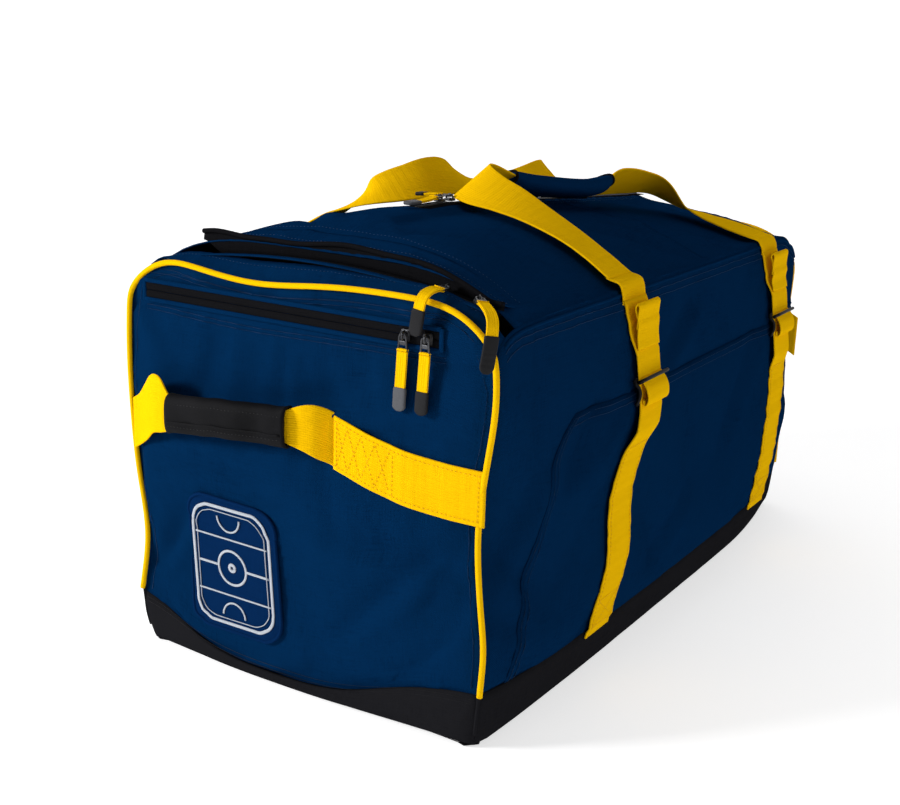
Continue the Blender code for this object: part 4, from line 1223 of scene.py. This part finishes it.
def zip_hardware(zip_name, hinge, down, out, knots, tip_finish):
    """Slider with its bridge, forked puller, folded ribbon and moulded tip."""
    slider_name = f"slider_{zip_name}"
    kind, side = zip_name.split("_")
    pivot = Vector(JOINTS[f"{kind}_pull_{side}_swing"]["pos_m"])
    at = pivot - out * 0.0050
    plate = [
        (-0.0036, -0.0050), (0.0036, -0.0050), (0.0048, -0.0022), (0.0042, 0.0050), (-0.0042, 0.0050),
        (-0.0048, -0.0022)
    ]
    parts = [prism("plate", plate, (hinge, down, out), at, 0.0001, 0.0014, METAL)]
    rim = [(a * 0.93, b * 0.93) for a, b in plate]
    parts.append(prism("cap", rim, (hinge, down, out), at, 0.0014, 0.0028, METAL, 0.0006))
    arch = [
        at + down * (-0.0036) + out * 0.0024, at + down * (-0.0034) + out * 0.0052,
        pivot + down * -0.0012 + out * 0.0016
    ]
    arch += [
        pivot + down * 0.0014 + out * 0.0015, at + down * 0.0036 + out * 0.0048,
        at + down * 0.0040 + out * 0.0024
    ]
    parts.append(tube("bridge", spline(arch, 0.0008), 0.0009, METAL, 8))
    body = join(f"{slider_name}_body", parts)
    finish_piece(body, f"slider_body_{zip_name}", [slider_name])

    ring = [
        (-0.0018, -0.0016), (0.0018, -0.0016), (0.0034, 0.0008), (0.0036, 0.0050), (0.0040, 0.0096),
        (0.0036, 0.0124)
    ]
    ring += [(-0.0036, 0.0124), (-0.0040, 0.0096), (-0.0036, 0.0050), (-0.0034, 0.0008)]
    loop = [pivot + hinge * a + down * b for a, b in ring + ring[:1]]
    links = [tube("stirrup", spline(loop, 0.0008), 0.0010, METAL, 8)]
    links.append(
        prism(
            "web", rounded(0.0062, 0.0036, 0.0008), (hinge, down, out), pivot + down * 0.0062, -0.0006,
            0.0006, METAL
        )
    )
    puller = join(f"puller_{zip_name}_link", links)
    finish_piece(puller, f"pull_{zip_name}", [f"puller_{zip_name}"])

    route = spline([pivot + down * (a / 1000) + out * (b / 1000) for a, b in knots], 0.0012)
    ahead = frames_along(route)
    halves = np.tile(np.array(hinge) * RIBBON_HALF, (len(route), 1))
    ups = np.cross(ahead, np.array(hinge))
    ups *= np.sign((ups @ np.array(out))[:1])[:, None]
    cut = int(len(route) * 0.60)
    layers = []
    for shift in (-0.0007, 0.0007):
        run = route[: cut + 3] + ups[: cut + 3] * shift
        layers.append(webbing("ribbon", run, halves[: cut + 3], 0.0011))
    wrap = [
        pivot + down * (0.0128 + 0.0016 * math.cos(t)) + out * (0.0016 * math.sin(t))
        for t in np.linspace(math.pi / 2, math.pi * 1.5, 8)
    ]
    layers.append(webbing("fold", wrap, [hinge * RIBBON_HALF] * 8, 0.0010))
    ribbon = join(f"pull_ribbon_{zip_name}", layers)
    finish_piece(ribbon, f"pull_{zip_name}", [f"pull_tab_{zip_name}"])

    body_path = route[cut:]
    count = len(body_path)
    run = np.linspace(0, 1, count)
    wide = 0.0062 * np.sqrt(
        np.clip(1 - np.clip((run - 0.80) / 0.215, 0, 1) ** 2, 0.02, 1)
    ) * np.where(run < 0.03, 0.9, 1)
    deep = 0.0019 * np.where(run > 0.93, 0.75, 1.0) * (1 + 0.10 * np.sin(run * 40) * (run > 0.35))
    sides, tops = np.tile(np.array(hinge), (count, 1)) * wide[:, None], ups[cut:] * deep[:, None]
    tip = sweep(f"pull_tip_{zip_name}", body_path, sides, tops, soft_section(16, 0.45, 0.45), tip_finish)
    finish_piece(tip, f"pull_{zip_name}")


def all_hardware():
    hanging = [(13.4, 0), (26, 1.0), (40, 2.2), (52, 3.1), (64.5, 3.8)]
    zip_hardware("end_left", X, -Z, -Y, hanging, TIP_GREY)
    zip_hardware("end_right", X, -Z, -Y, hanging, TIP_BLACK)
    centre = Vector(JOINTS["cross_zip_left_travel"]["pos_m"])
    bends = {
        "left": [(13.4, 0), (22, 0.8), (32, -0.8), (38, -6), (39.5, -16), (39.5, -27), (39.5, -37)],
        "right": [(13.4, 0), (24, 0.6), (38, 0.4), (49, -3), (55, -12), (58, -26), (60, -44)],
    }
    for side, knots in bends.items():
        out = (Vector(JOINTS[f"cross_pull_{side}_swing"]["pos_m"]) - centre).normalized()
        down = -Y if side == "left" else (Y.cross(out) - Y).normalized()
        zip_hardware(f"cross_{side}", down.cross(out).normalized(), down, out, knots, TIP_BLACK)
    zip_hardware(
        "main_near", X, -Y, Z, [(13.4, 0), (24, -1.2), (36, -1.6), (48, -1.6), (60, -1.6)], TIP_GREY
    )
    zip_hardware(
        "main_far", Y, -X, Z, [(13.4, 0), (20, -0.3), (27, -0.6), (34, -0.9), (40, -1.2)], TIP_BLACK
    )


# ---------------------------------------------------------------- straps, buckles and handles


def strap_centre(near, z):
    return near_strap_y(z) if near else FAR_STRAP_Y


def wall(y, z):
    return max(side_x(y - WEB / 2, z), side_x(y + WEB / 2, z)) + STRAP_OFFSET


def strap_x(y, z):
    """The strap's back face in the frame: on the panel, and straight past the buckle."""
    low, high = BUCKLE_Z - BUCKLE_RUN, BUCKLE_Z + BUCKLE_RUN
    if low <= z <= high:
        share = (z - low) / (high - low)
        return wall(y, low) * (1 - share) + wall(y, high) * share + BUCKLE_LIFT
    past = max(low - z, z - high)
    return wall(y, z) + BUCKLE_LIFT * max(0.0, 1.0 - past / 0.02)


def carry_straps(sides):
    for where, near in (("near", True), ("far", False)):
        for side, sign in (("right", 1), ("left", -1)):
            sheet = sides[side]
            path, halves = [], []
            for z in np.linspace(BAND_H - 0.004, 0.376, 64):
                y = strap_centre(near, z)
                share = min(max(share_of_height(z, seam_z(y)), 0.0), 1.0)
                cloth = max(sign * sheet.at(y + t * WEB / 2, share)[0] for t in (-1, 0, 1)) + 0.0026
                if z < BAND_H:
                    cloth = side_x(y, BAND_H) + 0.0030
                exact = strap_x(y, z) + WEB_T / 2 + 0.0001
                straight = float(smooth((0.060 - abs(z - BUCKLE_Z)) / 0.024))
                path.append((sign * (cloth * (1 - straight) + max(cloth, exact) * straight), y, z))
                halves.append((0, sign * WEB / 2, 0))
            leg = webbing(f"strap_leg_{where}_{side}", path, halves)
            finish_piece(leg, "root", [f"strap_{where}_{side}"])
            path = np.array(path)
            details(path, sign, where, side)
            buckle(where, side, sign, near)


def details(path, sign, where, side):
    """Box stitching at the strap's foot and its hemmed tail above the buckle."""
    out = np.array([sign, 0, 0.12])
    lines = []
    low = [p for p in path if p[2] < 0.24]
    for edge in (-STITCH_ROW, STITCH_ROW):
        lines.append(([p + np.array([sign * 0.0012, edge, 0]) for p in low], [out] * len(low)))
    for z in (BAND_H + 0.004, BAND_H + 0.034, 0.236):
        base = path[np.argmin(abs(path[:, 2] - z))]
        lines.append(
            (
                [base + np.array([sign * 0.0012, e, 0]) for e in np.linspace(-STITCH_ROW, STITCH_ROW, 12)],
                [out] * 12
            )
        )
    foot = path[np.argmin(abs(path[:, 2] - BAND_H - 0.004))]
    box = path[np.argmin(abs(path[:, 2] - BAND_H - 0.034))]
    for flip in (-1, 1):
        a = foot + np.array([sign * 0.0013, -STITCH_ROW * flip, 0])
        b = box + np.array([sign * 0.0013, STITCH_ROW * flip, 0])
        lines.append(([a + (b - a) * t for t in np.linspace(0, 1, 12)], [out] * 12))
    finish_piece(stitches(f"strap_stitches_{where}_{side}", lines, THREAD_YELLOW), "root")

    high = path[(path[:, 2] > 0.325) & (path[:, 2] < 0.374)]
    run = np.linspace(0, 1, len(high))
    away = 0.0024 + 0.0075 * np.sin(run * math.pi * 0.62)
    tail = [p + np.array([sign * a, 0, 0]) for p, a in zip(high, away)]
    fold = [(0.0020, 0.0035), (0.0042, 0.0015), (0.0040, -0.004), (0.0034, -0.014), (0.0032, -0.021)]
    tail += [tail[-1] + np.array([sign * a, 0, b]) for a, b in fold]
    route = spline([tuple(p) for p in tail], 0.0020)
    hem = webbing(f"strap_tail_{where}_{side}", route, [(0, sign * WEB * 0.48, 0)] * len(route), 0.0018)
    finish_piece(hem, "root")
    last = np.array(tail[-1]) + np.array([sign * 0.0012, 0, 0.003])
    row = [
        (
            [last + np.array([0, e, 0]) for e in np.linspace(-STITCH_ROW, STITCH_ROW, 12)],
            [(sign, 0, 0)] * 12
        )
    ]
    finish_piece(stitches(f"strap_tail_stitches_{where}_{side}", row, THREAD_YELLOW), "root")


def buckle(where, side, sign, near):
    """Ladder buckle: two outer bars behind the strap and one in front, joined by its rails."""
    name = f"buckle_{where}_{side}"
    y = strap_centre(near, BUCKLE_Z)
    low, high = BUCKLE_Z - BUCKLE_RUN, BUCKLE_Z + BUCKLE_RUN
    bottom = Vector((sign * strap_x(y, low), y, low))
    top = Vector((sign * strap_x(y, high), y, high))
    along = (top - bottom).normalized()
    out = (along.cross(Y) * -sign).normalized()
    if out.x * sign < 0:
        out = -out
    middle = (bottom + top) / 2
    half, reach, back, front = 0.0282, 0.0116, -0.0016, WEB_T + 0.0026
    loop = [
        (-half, -reach, back), (0, -reach - 0.0004, back), (half, -reach, back),
        (half + 0.0006, -0.004, front * 0.6)
    ]
    loop += [
        (half + 0.0006, 0.004, front * 0.6), (half, reach, back), (0, reach + 0.0004, back),
        (-half, reach, back)
    ]
    loop += [
        (-half - 0.0006, 0.004, front * 0.6), (-half - 0.0006, -0.004, front * 0.6), (-half, -reach, back)
    ]
    ring = [middle + Y * a + along * b + out * c for a, b, c in loop]
    bar = [(-half, 0.0100, 0.0030), (-half * 0.95, 0.0125, 0.0080), (0, 0.0132, 0.0092)]
    bar += [(half * 0.95, 0.0125, 0.0080), (half, 0.0100, 0.0030)]
    parts = [tube("ring", spline(ring, 0.0015), 0.0018, PLASTIC, 10)]
    parts.append(
        tube(
            "bar", spline([middle + Y * a + along * b + out * c for a, b, c in bar], 0.002), 0.0019,
            PLASTIC, 10
        )
    )
    curl = [
        (0.013, 0.0012), (0.009, 0.0042), (0.003, 0.0072), (-0.004, 0.0084), (-0.010, 0.0076),
        (-0.0135, 0.0050)
    ]
    curl += [(-0.0125, 0.0032), (-0.008, 0.0026)]
    route = spline([middle + along * b + out * (c + WEB_T / 2) for b, c in curl], 0.0012)
    turn = webbing(f"strap_turn_{where}_{side}", route, [(0, sign * WEB * 0.485, 0)] * len(route), 0.0019)
    finish_piece(turn, f"adjuster_{where}_{side}")
    finish_piece(join(f"{name}_frame", parts), f"adjuster_{where}_{side}", [name])


def on_lid(x, y, lift=0.0036, lean=0):
    return x, y, float(top_z(x, y)) + lift, lean


def handle_routes():
    """Middle line and lean of each carry handle, from its near knee over the lid to its far knee."""
    right = [on_lid(KNEE_X, -0.150), on_lid(0.150, -0.151), on_lid(0.106, -0.151, 0.0064, 8)]
    right += [(0.068, -0.151, 0.4560, 22), (0.036, -0.148, 0.4640, 34), (0.014, -0.136, 0.4690, 42)]
    right += [(0.006, -0.108, 0.4680, 42), (0.012, -0.062, 0.4600, 20), (0.025, 0.000, 0.4535, 10)]
    right += [(0.037, 0.055, 0.4480, 10), (0.040, 0.085, 0.4470, 18), (0.040, 0.114, 0.4490, 38)]
    right += [(0.042, 0.146, 0.4490, 44), (0.051, 0.182, 0.4460, 38), (0.070, 0.210, 0.4395, 26)]
    right += [on_lid(0.102, 0.229, 0.0064, 10), on_lid(0.148, 0.236), on_lid(KNEE_X, 0.235)]
    left = [on_lid(KNEE_X, -0.150), on_lid(0.155, -0.150), on_lid(0.128, -0.147, 0.0064, 8)]
    left += [(0.104, -0.136, 0.4490, 26), (0.084, -0.106, 0.4565, 40), (0.072, -0.072, 0.4620, 50)]
    left += [(0.068, -0.040, 0.4600, 46), (0.070, 0.000, 0.4510, 26), (0.072, 0.045, 0.4430, 12)]
    left += [(0.072, 0.100, 0.4415, 14), (0.069, 0.150, 0.4420, 32), (0.069, 0.188, 0.4430, 48)]
    left += [(0.075, 0.213, 0.4405, 42), (0.092, 0.229, 0.4325, 24), on_lid(0.120, 0.235, 0.0064, 10)]
    left += [on_lid(0.155, 0.236), on_lid(KNEE_X, 0.235)]
    return {"right": (right, 1), "left": (left, -1)}


def leaning(route):
    """Half-width vectors of a band that is flat at its knees and leans on edge by its angle."""
    ahead = frames_along(route[:, :3])
    angles = np.radians(route[:, 3])
    halves = []
    for i, a in enumerate(ahead):
        flat = np.cross(a, (0, 0, 1.0))
        flat /= np.linalg.norm(flat)
        lifted = np.cross(flat, a)
        halves.append((flat * math.cos(angles[i]) + lifted * math.sin(angles[i])) * WEB / 2)
    halves[0] = np.array((0, math.copysign(WEB / 2, halves[0][1]), 0))
    halves[-1] = np.array((0, math.copysign(WEB / 2, halves[-1][1]), 0))
    return np.array(halves)


def carry_handles():
    for side, (knots, sign) in handle_routes().items():
        route = spline(knots, 0.005)
        floor_z = np.array([float(top_z(x, y)) for x, y in route[:, :2]])
        halves = leaning(route)
        reach = abs(halves[:, 2])
        route[:, 2] = np.maximum(route[:, 2], floor_z + reach + 0.0028)
        mirror = np.array([sign, 1, 1])
        path, halves = route[:, :3] * mirror, halves * mirror
        band = webbing(f"carry_handle_band_{side}", path, halves)
        finish_piece(band, f"handle_{side}", [f"carry_handle_{side}"])
        if side == "right":
            wrap(path, halves)
        for where, index in (("near", 0), ("far", -1)):
            knee(side, sign, where, path[index])


def knee(side, sign, where, start):
    """The webbing's bend over the bag's top edge, between the sewn strap and the handle."""
    y = float(start[1])
    foot = strap_x(y, 0.376) + 0.0004
    end = float(start[2])
    knots = [(foot, y, 0.372), (foot - 0.0004, y, 0.378), (foot - 0.0025, y, end - 0.0070)]
    knots += [(foot - 0.0062, y, end - 0.0022), (KNEE_X, y, end), (KNEE_X - 0.004, y, end + 0.0014)]
    path = spline([(sign * x, b, z) for x, b, z in knots], 0.002)
    bend = webbing(f"strap_knee_{where}_{side}", path, [(0, sign * WEB / 2, 0)] * len(path))
    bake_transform(bend)


def wrap(path, halves):
    """Padded sleeve folded round the right handle and closed along its top edge."""
    low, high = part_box("handle_wrap")
    keep = (path[:, 1] > low.y - 0.040) & (path[:, 1] < high.y + 0.006)
    middle, side = path[keep], halves[keep] * 1.06
    ahead = frames_along(middle)
    ups = np.cross(ahead, side)
    ups /= np.linalg.norm(ups, axis=1)[:, None]
    count = len(middle)
    run = np.linspace(0, 1, count)
    swell = 1.0 - 0.35 * np.clip((abs(run - 0.5) - 0.40) / 0.10, 0, 1) ** 2
    section = soft_section(28, 0.5, 0.7)
    pad = sweep("handle_wrap_pad", middle, side, ups * (0.0100 * swell)[:, None], section, NAVY)
    finish_piece(pad, "handle_right", ["handle_wrap"])
    bindings = []
    for end in (0, -1):
        ring = [middle[end] + side[end] * s * 1.02 + ups[end] * 0.0072 * h for s, h in section]
        bindings.append(tube("binding", ring + ring[:1], 0.0014, TAPE, 8))
    flat = [middle[i] - side[i] * 0.55 + ups[i] * 0.0094 for i in range(count)]
    bindings.append(tube("edge", flat, 0.0011, TAPE, 8))
    finish_piece(join("handle_wrap_binding", bindings), "handle_right")


# ---------------------------------------------------------------- end handles and badge


def end_handle(where, sheet):
    sign = -1 if where == "near" else 1
    flip = 1 if where == "near" else -1
    body = f"end_handle_{where}"
    low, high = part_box(f"end_grip_{where}")
    grip_z = (low.z + high.z) / 2
    out = abs(low.y + high.y) / 2
    x0, x1 = (low.x, high.x) if where == "near" else (-high.x, -low.x)
    slope = 0.09

    def surface(x, z):
        return abs(sheet.at(flip * x, end_share(x, z, sign))[1])

    def level(x):
        return grip_z + slope * (x - (x0 + x1) / 2)

    def band(name, knots, pitch=0.003):
        path = spline([(flip * x, sign * y, z, half) for x, y, z, half in knots], pitch)
        halves = np.stack([np.zeros(len(path)), np.zeros(len(path)), path[:, 3]], 1)
        return webbing(name, path[:, :3], halves), path

    knots = [(-0.1990, surface(-0.194, 0.236) + 0.0012, 0.2355, 0.0260)]
    knots += [
        (-0.186, surface(-0.186, 0.243) + 0.0030, 0.2430, 0.0262), (-0.168, out - 0.0150, 0.2560, 0.0285)
    ]
    knots += [(-0.150, out - 0.0045, 0.2690, 0.0290), (-0.136, out - 0.0005, 0.2710, 0.0270)]
    knots += [
        (x0 - 0.002, out + 0.0004, level(x0), 0.0180),
        (x0 + 0.010, out + 0.0004, level(x0 + 0.01), 0.0145)
    ]
    knots += [(x0 + 0.05, out, level(x0 + 0.05), 0.0140)]
    left, _ = band(f"end_handle_left_{where}", knots)
    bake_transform(left)
    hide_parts(f"end_handle_web_{where}")
    knots = [
        (x1 - 0.05, out, level(x1 - 0.05), 0.0140), (x1 - 0.010, out + 0.0004, level(x1 - 0.01), 0.0145)
    ]
    knots += [
        (x1 + 0.002, out - 0.0006, level(x1) + 0.0004, 0.0172), (x1 + 0.014, out - 0.0030, 0.2790, 0.0212)
    ]
    knots += [
        (x1 + 0.024, out - 0.0090, 0.2760, 0.0244), (0.050, surface(0.050, 0.27) + 0.0036, 0.2700, 0.0250)
    ]
    knots += [(0.062, surface(0.062, 0.266) + 0.0012, 0.2645, 0.0250)]
    right, _ = band(f"end_handle_right_{where}", knots)
    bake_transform(right)

    edge = HALF_W - 0.002
    tab_knots = []
    for t in np.linspace(0, 1, 14):
        x = 0.054 + t * (edge - 0.054)
        z = 0.2665 - 0.0275 * t - 0.006 * math.sin(math.pi * t)
        y = max(surface(x, z - 0.02), surface(x, z), surface(x, z + 0.02))
        tab_knots.append((x, y + 0.0014, z, 0.0250))
    tab, path = band(f"end_handle_tab_cloth_{where}", tab_knots)
    finish_piece(tab, "root", [f"end_handle_tab_{where}"])
    lines = []
    face = np.array([0, sign * 1.0, 0])
    shift = face * (WEB_T / 2 + 0.0002)
    count = len(path)
    reach = int(count * 0.42)
    for row in (-0.0205, 0.0205):
        lines.append(
            ([path[i, :3] + shift + np.array([0, 0, row]) for i in range(count)], [face] * count)
        )
    zig = [(0, -1), (0.25, 1), (0.5, -1), (0.75, 1), (1, -1)]
    for s in (1, -1):
        knots = [
            path[int(1 + share * (reach - 2)), :3] + shift + np.array([0, 0, s * way * 0.0195])
            for share, way in zig
        ]
        dense = resample(np.array(knots), 0.002)
        lines.append((dense, [face] * len(dense)))
    for at in (1, reach, count - 3):
        lines.append(
            (
                [path[at, :3] + shift + np.array([0, 0, h]) for h in np.linspace(-0.0205, 0.0205, 12)],
                [face] * 12
            )
        )
    finish_piece(stitches(f"end_tab_stitches_{where}", lines, THREAD_YELLOW), "root")
    grip(where, flip, sign, x0, x1, out, level, body)


def grip(where, flip, sign, x0, x1, out, level, body):
    """Stitched vinyl sleeve, open at both ends, slightly bowed, with its seam along the front."""
    count = 46
    run = np.linspace(0, 1, count)
    xs = x0 + (x1 - x0) * run
    bow = 0.0016 * np.sin(math.pi * run)
    wobble = 0.0003 * np.sin(run * 19) + 0.0002 * np.sin(run * 31 + 1)
    path = np.stack(
        [flip * xs, sign * (out + 0.0004 + bow), level(xs) + 0.0010 * np.sin(math.pi * run) + wobble], 1
    )
    flare = 1 + 0.08 * np.exp(-run / 0.04) + 0.08 * np.exp(-(1 - run) / 0.04)
    outer = soft_section(32, 0.62, 0.75)
    inner = [(a * 0.90, b * 0.62) for a, b in outer]
    rows = []
    for i in range(count):
        tall, deep = 0.0182 * flare[i], 0.0092 * (1 + 0.04 * math.sin(run[i] * 23))
        rows.append([path[i] + np.array([0, sign * b * deep, a * tall]) for a, b in outer])
    for i in range(count - 1, -1, -1):
        tall, deep = 0.0182 * flare[i], 0.0092
        rows.append([path[i] + np.array([0, sign * b * deep, a * tall]) for a, b in inner])
    rows = np.array(rows)
    n = len(outer)
    faces = []
    for i in range(len(rows)):
        m = (i + 1) % len(rows)
        faces += [(i * n + k, i * n + (k + 1) % n, m * n + (k + 1) % n, m * n + k) for k in range(n)]
    sleeve = mesh_object("sleeve", rows.reshape(-1, 3), faces, VINYL)
    orient(sleeve)
    seam = [p + np.array([0, sign * 0.0090, -0.006]) for p in path[1:-1]]
    ridge = tube("ridge", seam, 0.0013, VINYL, 8)
    piece = join(f"end_grip_sleeve_{where}", [sleeve, ridge])
    finish_piece(piece, body, [f"end_grip_{where}"])
    lines = []
    for height, depth in ((-0.0105, 0.0083), (0.011, 0.0079)):
        line = [p + np.array([0, sign * (depth + 0.0004), height]) for p in path[1:-1]]
        lines.append((line, [(0, sign, 0)] * len(line)))
    finish_piece(stitches(f"end_grip_stitches_{where}", lines, THREAD_BLACK), body)


def badge(sheet):
    """Plain embroidered patch with a rink seen from above: boards, lines, centre and end arcs."""
    low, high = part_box("badge")
    cx, cz = (low.x + high.x) / 2, (low.z + high.z) / 2
    half_x, half_z = (high.x - low.x) / 2, (high.z - low.z) / 2

    def on(x, z, lift):
        share = end_share(x, z)
        return sheet.at(x, share) + sheet.normal(x, share) * lift

    outline = rounded(2 * half_x, 2 * half_z, 0.026, 10)
    rings = []
    for shrink, lift in (
        (1.0, 0.0004), (1.0, 0.0022), (0.97, 0.0027), (0.80, 0.0029), (0.5, 0.0030), (0.2, 0.0030),
        (0.02, 0.0030)
    ):
        rings.append([on(cx + a * shrink, cz + b * shrink, lift) for a, b in outline])
    count = len(outline)
    points = np.array(rings).reshape(-1, 3)
    faces = closed_rings(len(rings), count)
    uvs = [(p[0], p[2]) for p in points]
    patch = mesh_object("badge_patch", points, faces, PATCH, uvs)
    orient(patch)
    finish_piece(patch, "root", ["badge"])

    def closed(pairs, lift):
        pts = [on(cx + a, cz + b, lift) for a, b in pairs]
        return resample(np.array(pts + pts[:1]), 0.0016)

    border = tube(
        "badge_border", closed([(a * 0.985, b * 0.985) for a, b in outline], 0.0022), 0.0019, PATCH, 10
    )
    finish_piece(border, "root")
    marks = []

    def satin(pairs, width, loop=True):
        pts = [on(cx + a, cz + b, 0.0034) for a, b in pairs]
        path = resample(np.array(pts + pts[:1] if loop else pts), 0.0015)
        ahead = frames_along(path)
        side = np.cross(ahead, (0, -1.0, 0))
        side /= np.linalg.norm(side, axis=1)[:, None]
        section = [(-1, 0), (-0.8, 0.7), (-0.3, 1), (0.3, 1), (0.8, 0.7), (1, 0), (0, -0.6)]
        marks.append(
            sweep("satin", path, side * width / 2, np.cross(side, ahead) * 0.0007, section, THREAD_WHITE)
        )

    boards = rounded(2 * half_x - 0.018, 2 * half_z - 0.018, 0.024, 10)
    satin(boards, 0.0034)
    satin([(a * 0.90, b * 0.918) for a, b in boards], 0.0009)
    wide = half_x - 0.012
    satin([(-wide, 0), (-0.019, 0)], 0.0026, False)
    satin([(0.019, 0), (wide, 0)], 0.0026, False)
    for level in (-0.030, 0.030):
        satin([(-wide, level), (wide, level)], 0.0018, False)
    turns = np.linspace(0, 2 * math.pi, 36, endpoint=False)
    satin([(0.018 * math.cos(t), 0.018 * math.sin(t)) for t in turns], 0.0026)
    satin([(0.0035 * math.cos(t), 0.0035 * math.sin(t)) for t in turns[::3]], 0.0035)
    for level in (-1, 1):
        arc = [
            (0.014 * math.cos(t), level * (0.052 - 0.014 * math.sin(t)))
            for t in np.linspace(0, math.pi, 14)
        ]
        satin(arc, 0.0020, False)
    finish_piece(join("badge_embroidery", marks), "root")


# ---------------------------------------------------------------- putting it together


def dress_frame_nodes():
    """The inner pieces keep their CAD shape and get their finish."""
    for name in ("base_board", "end_pocket_liner", "skate_divider"):
        shown = frame["nodes"][name]
        shown.data.materials.clear()
        shown.data.materials.append(BOARD)


def main():
    stage_and_camera()
    sides = {"right": side_sheet(1), "left": side_sheet(-1)}
    ends = {"near": end_sheet(-1), "far": end_sheet(1)}
    top = top_sheet()
    drape([*sides.values(), *ends.values(), top])
    for sheet, start, end, width, depth in folds(sides, ends, top):
        crease(sheet, start, end, width, depth)
    body_cloth(sides, ends, top)
    base_tub()
    overlays(sides)
    felled_seams(sides)
    piping(ends)
    end_zip(ends["near"])
    cross_zip(top)
    main_zip(top)
    all_hardware()
    carry_straps(sides)
    carry_handles()
    for where in ("near", "far"):
        end_handle(where, ends[where])
    badge(ends["near"])
    dress_frame_nodes()


main()
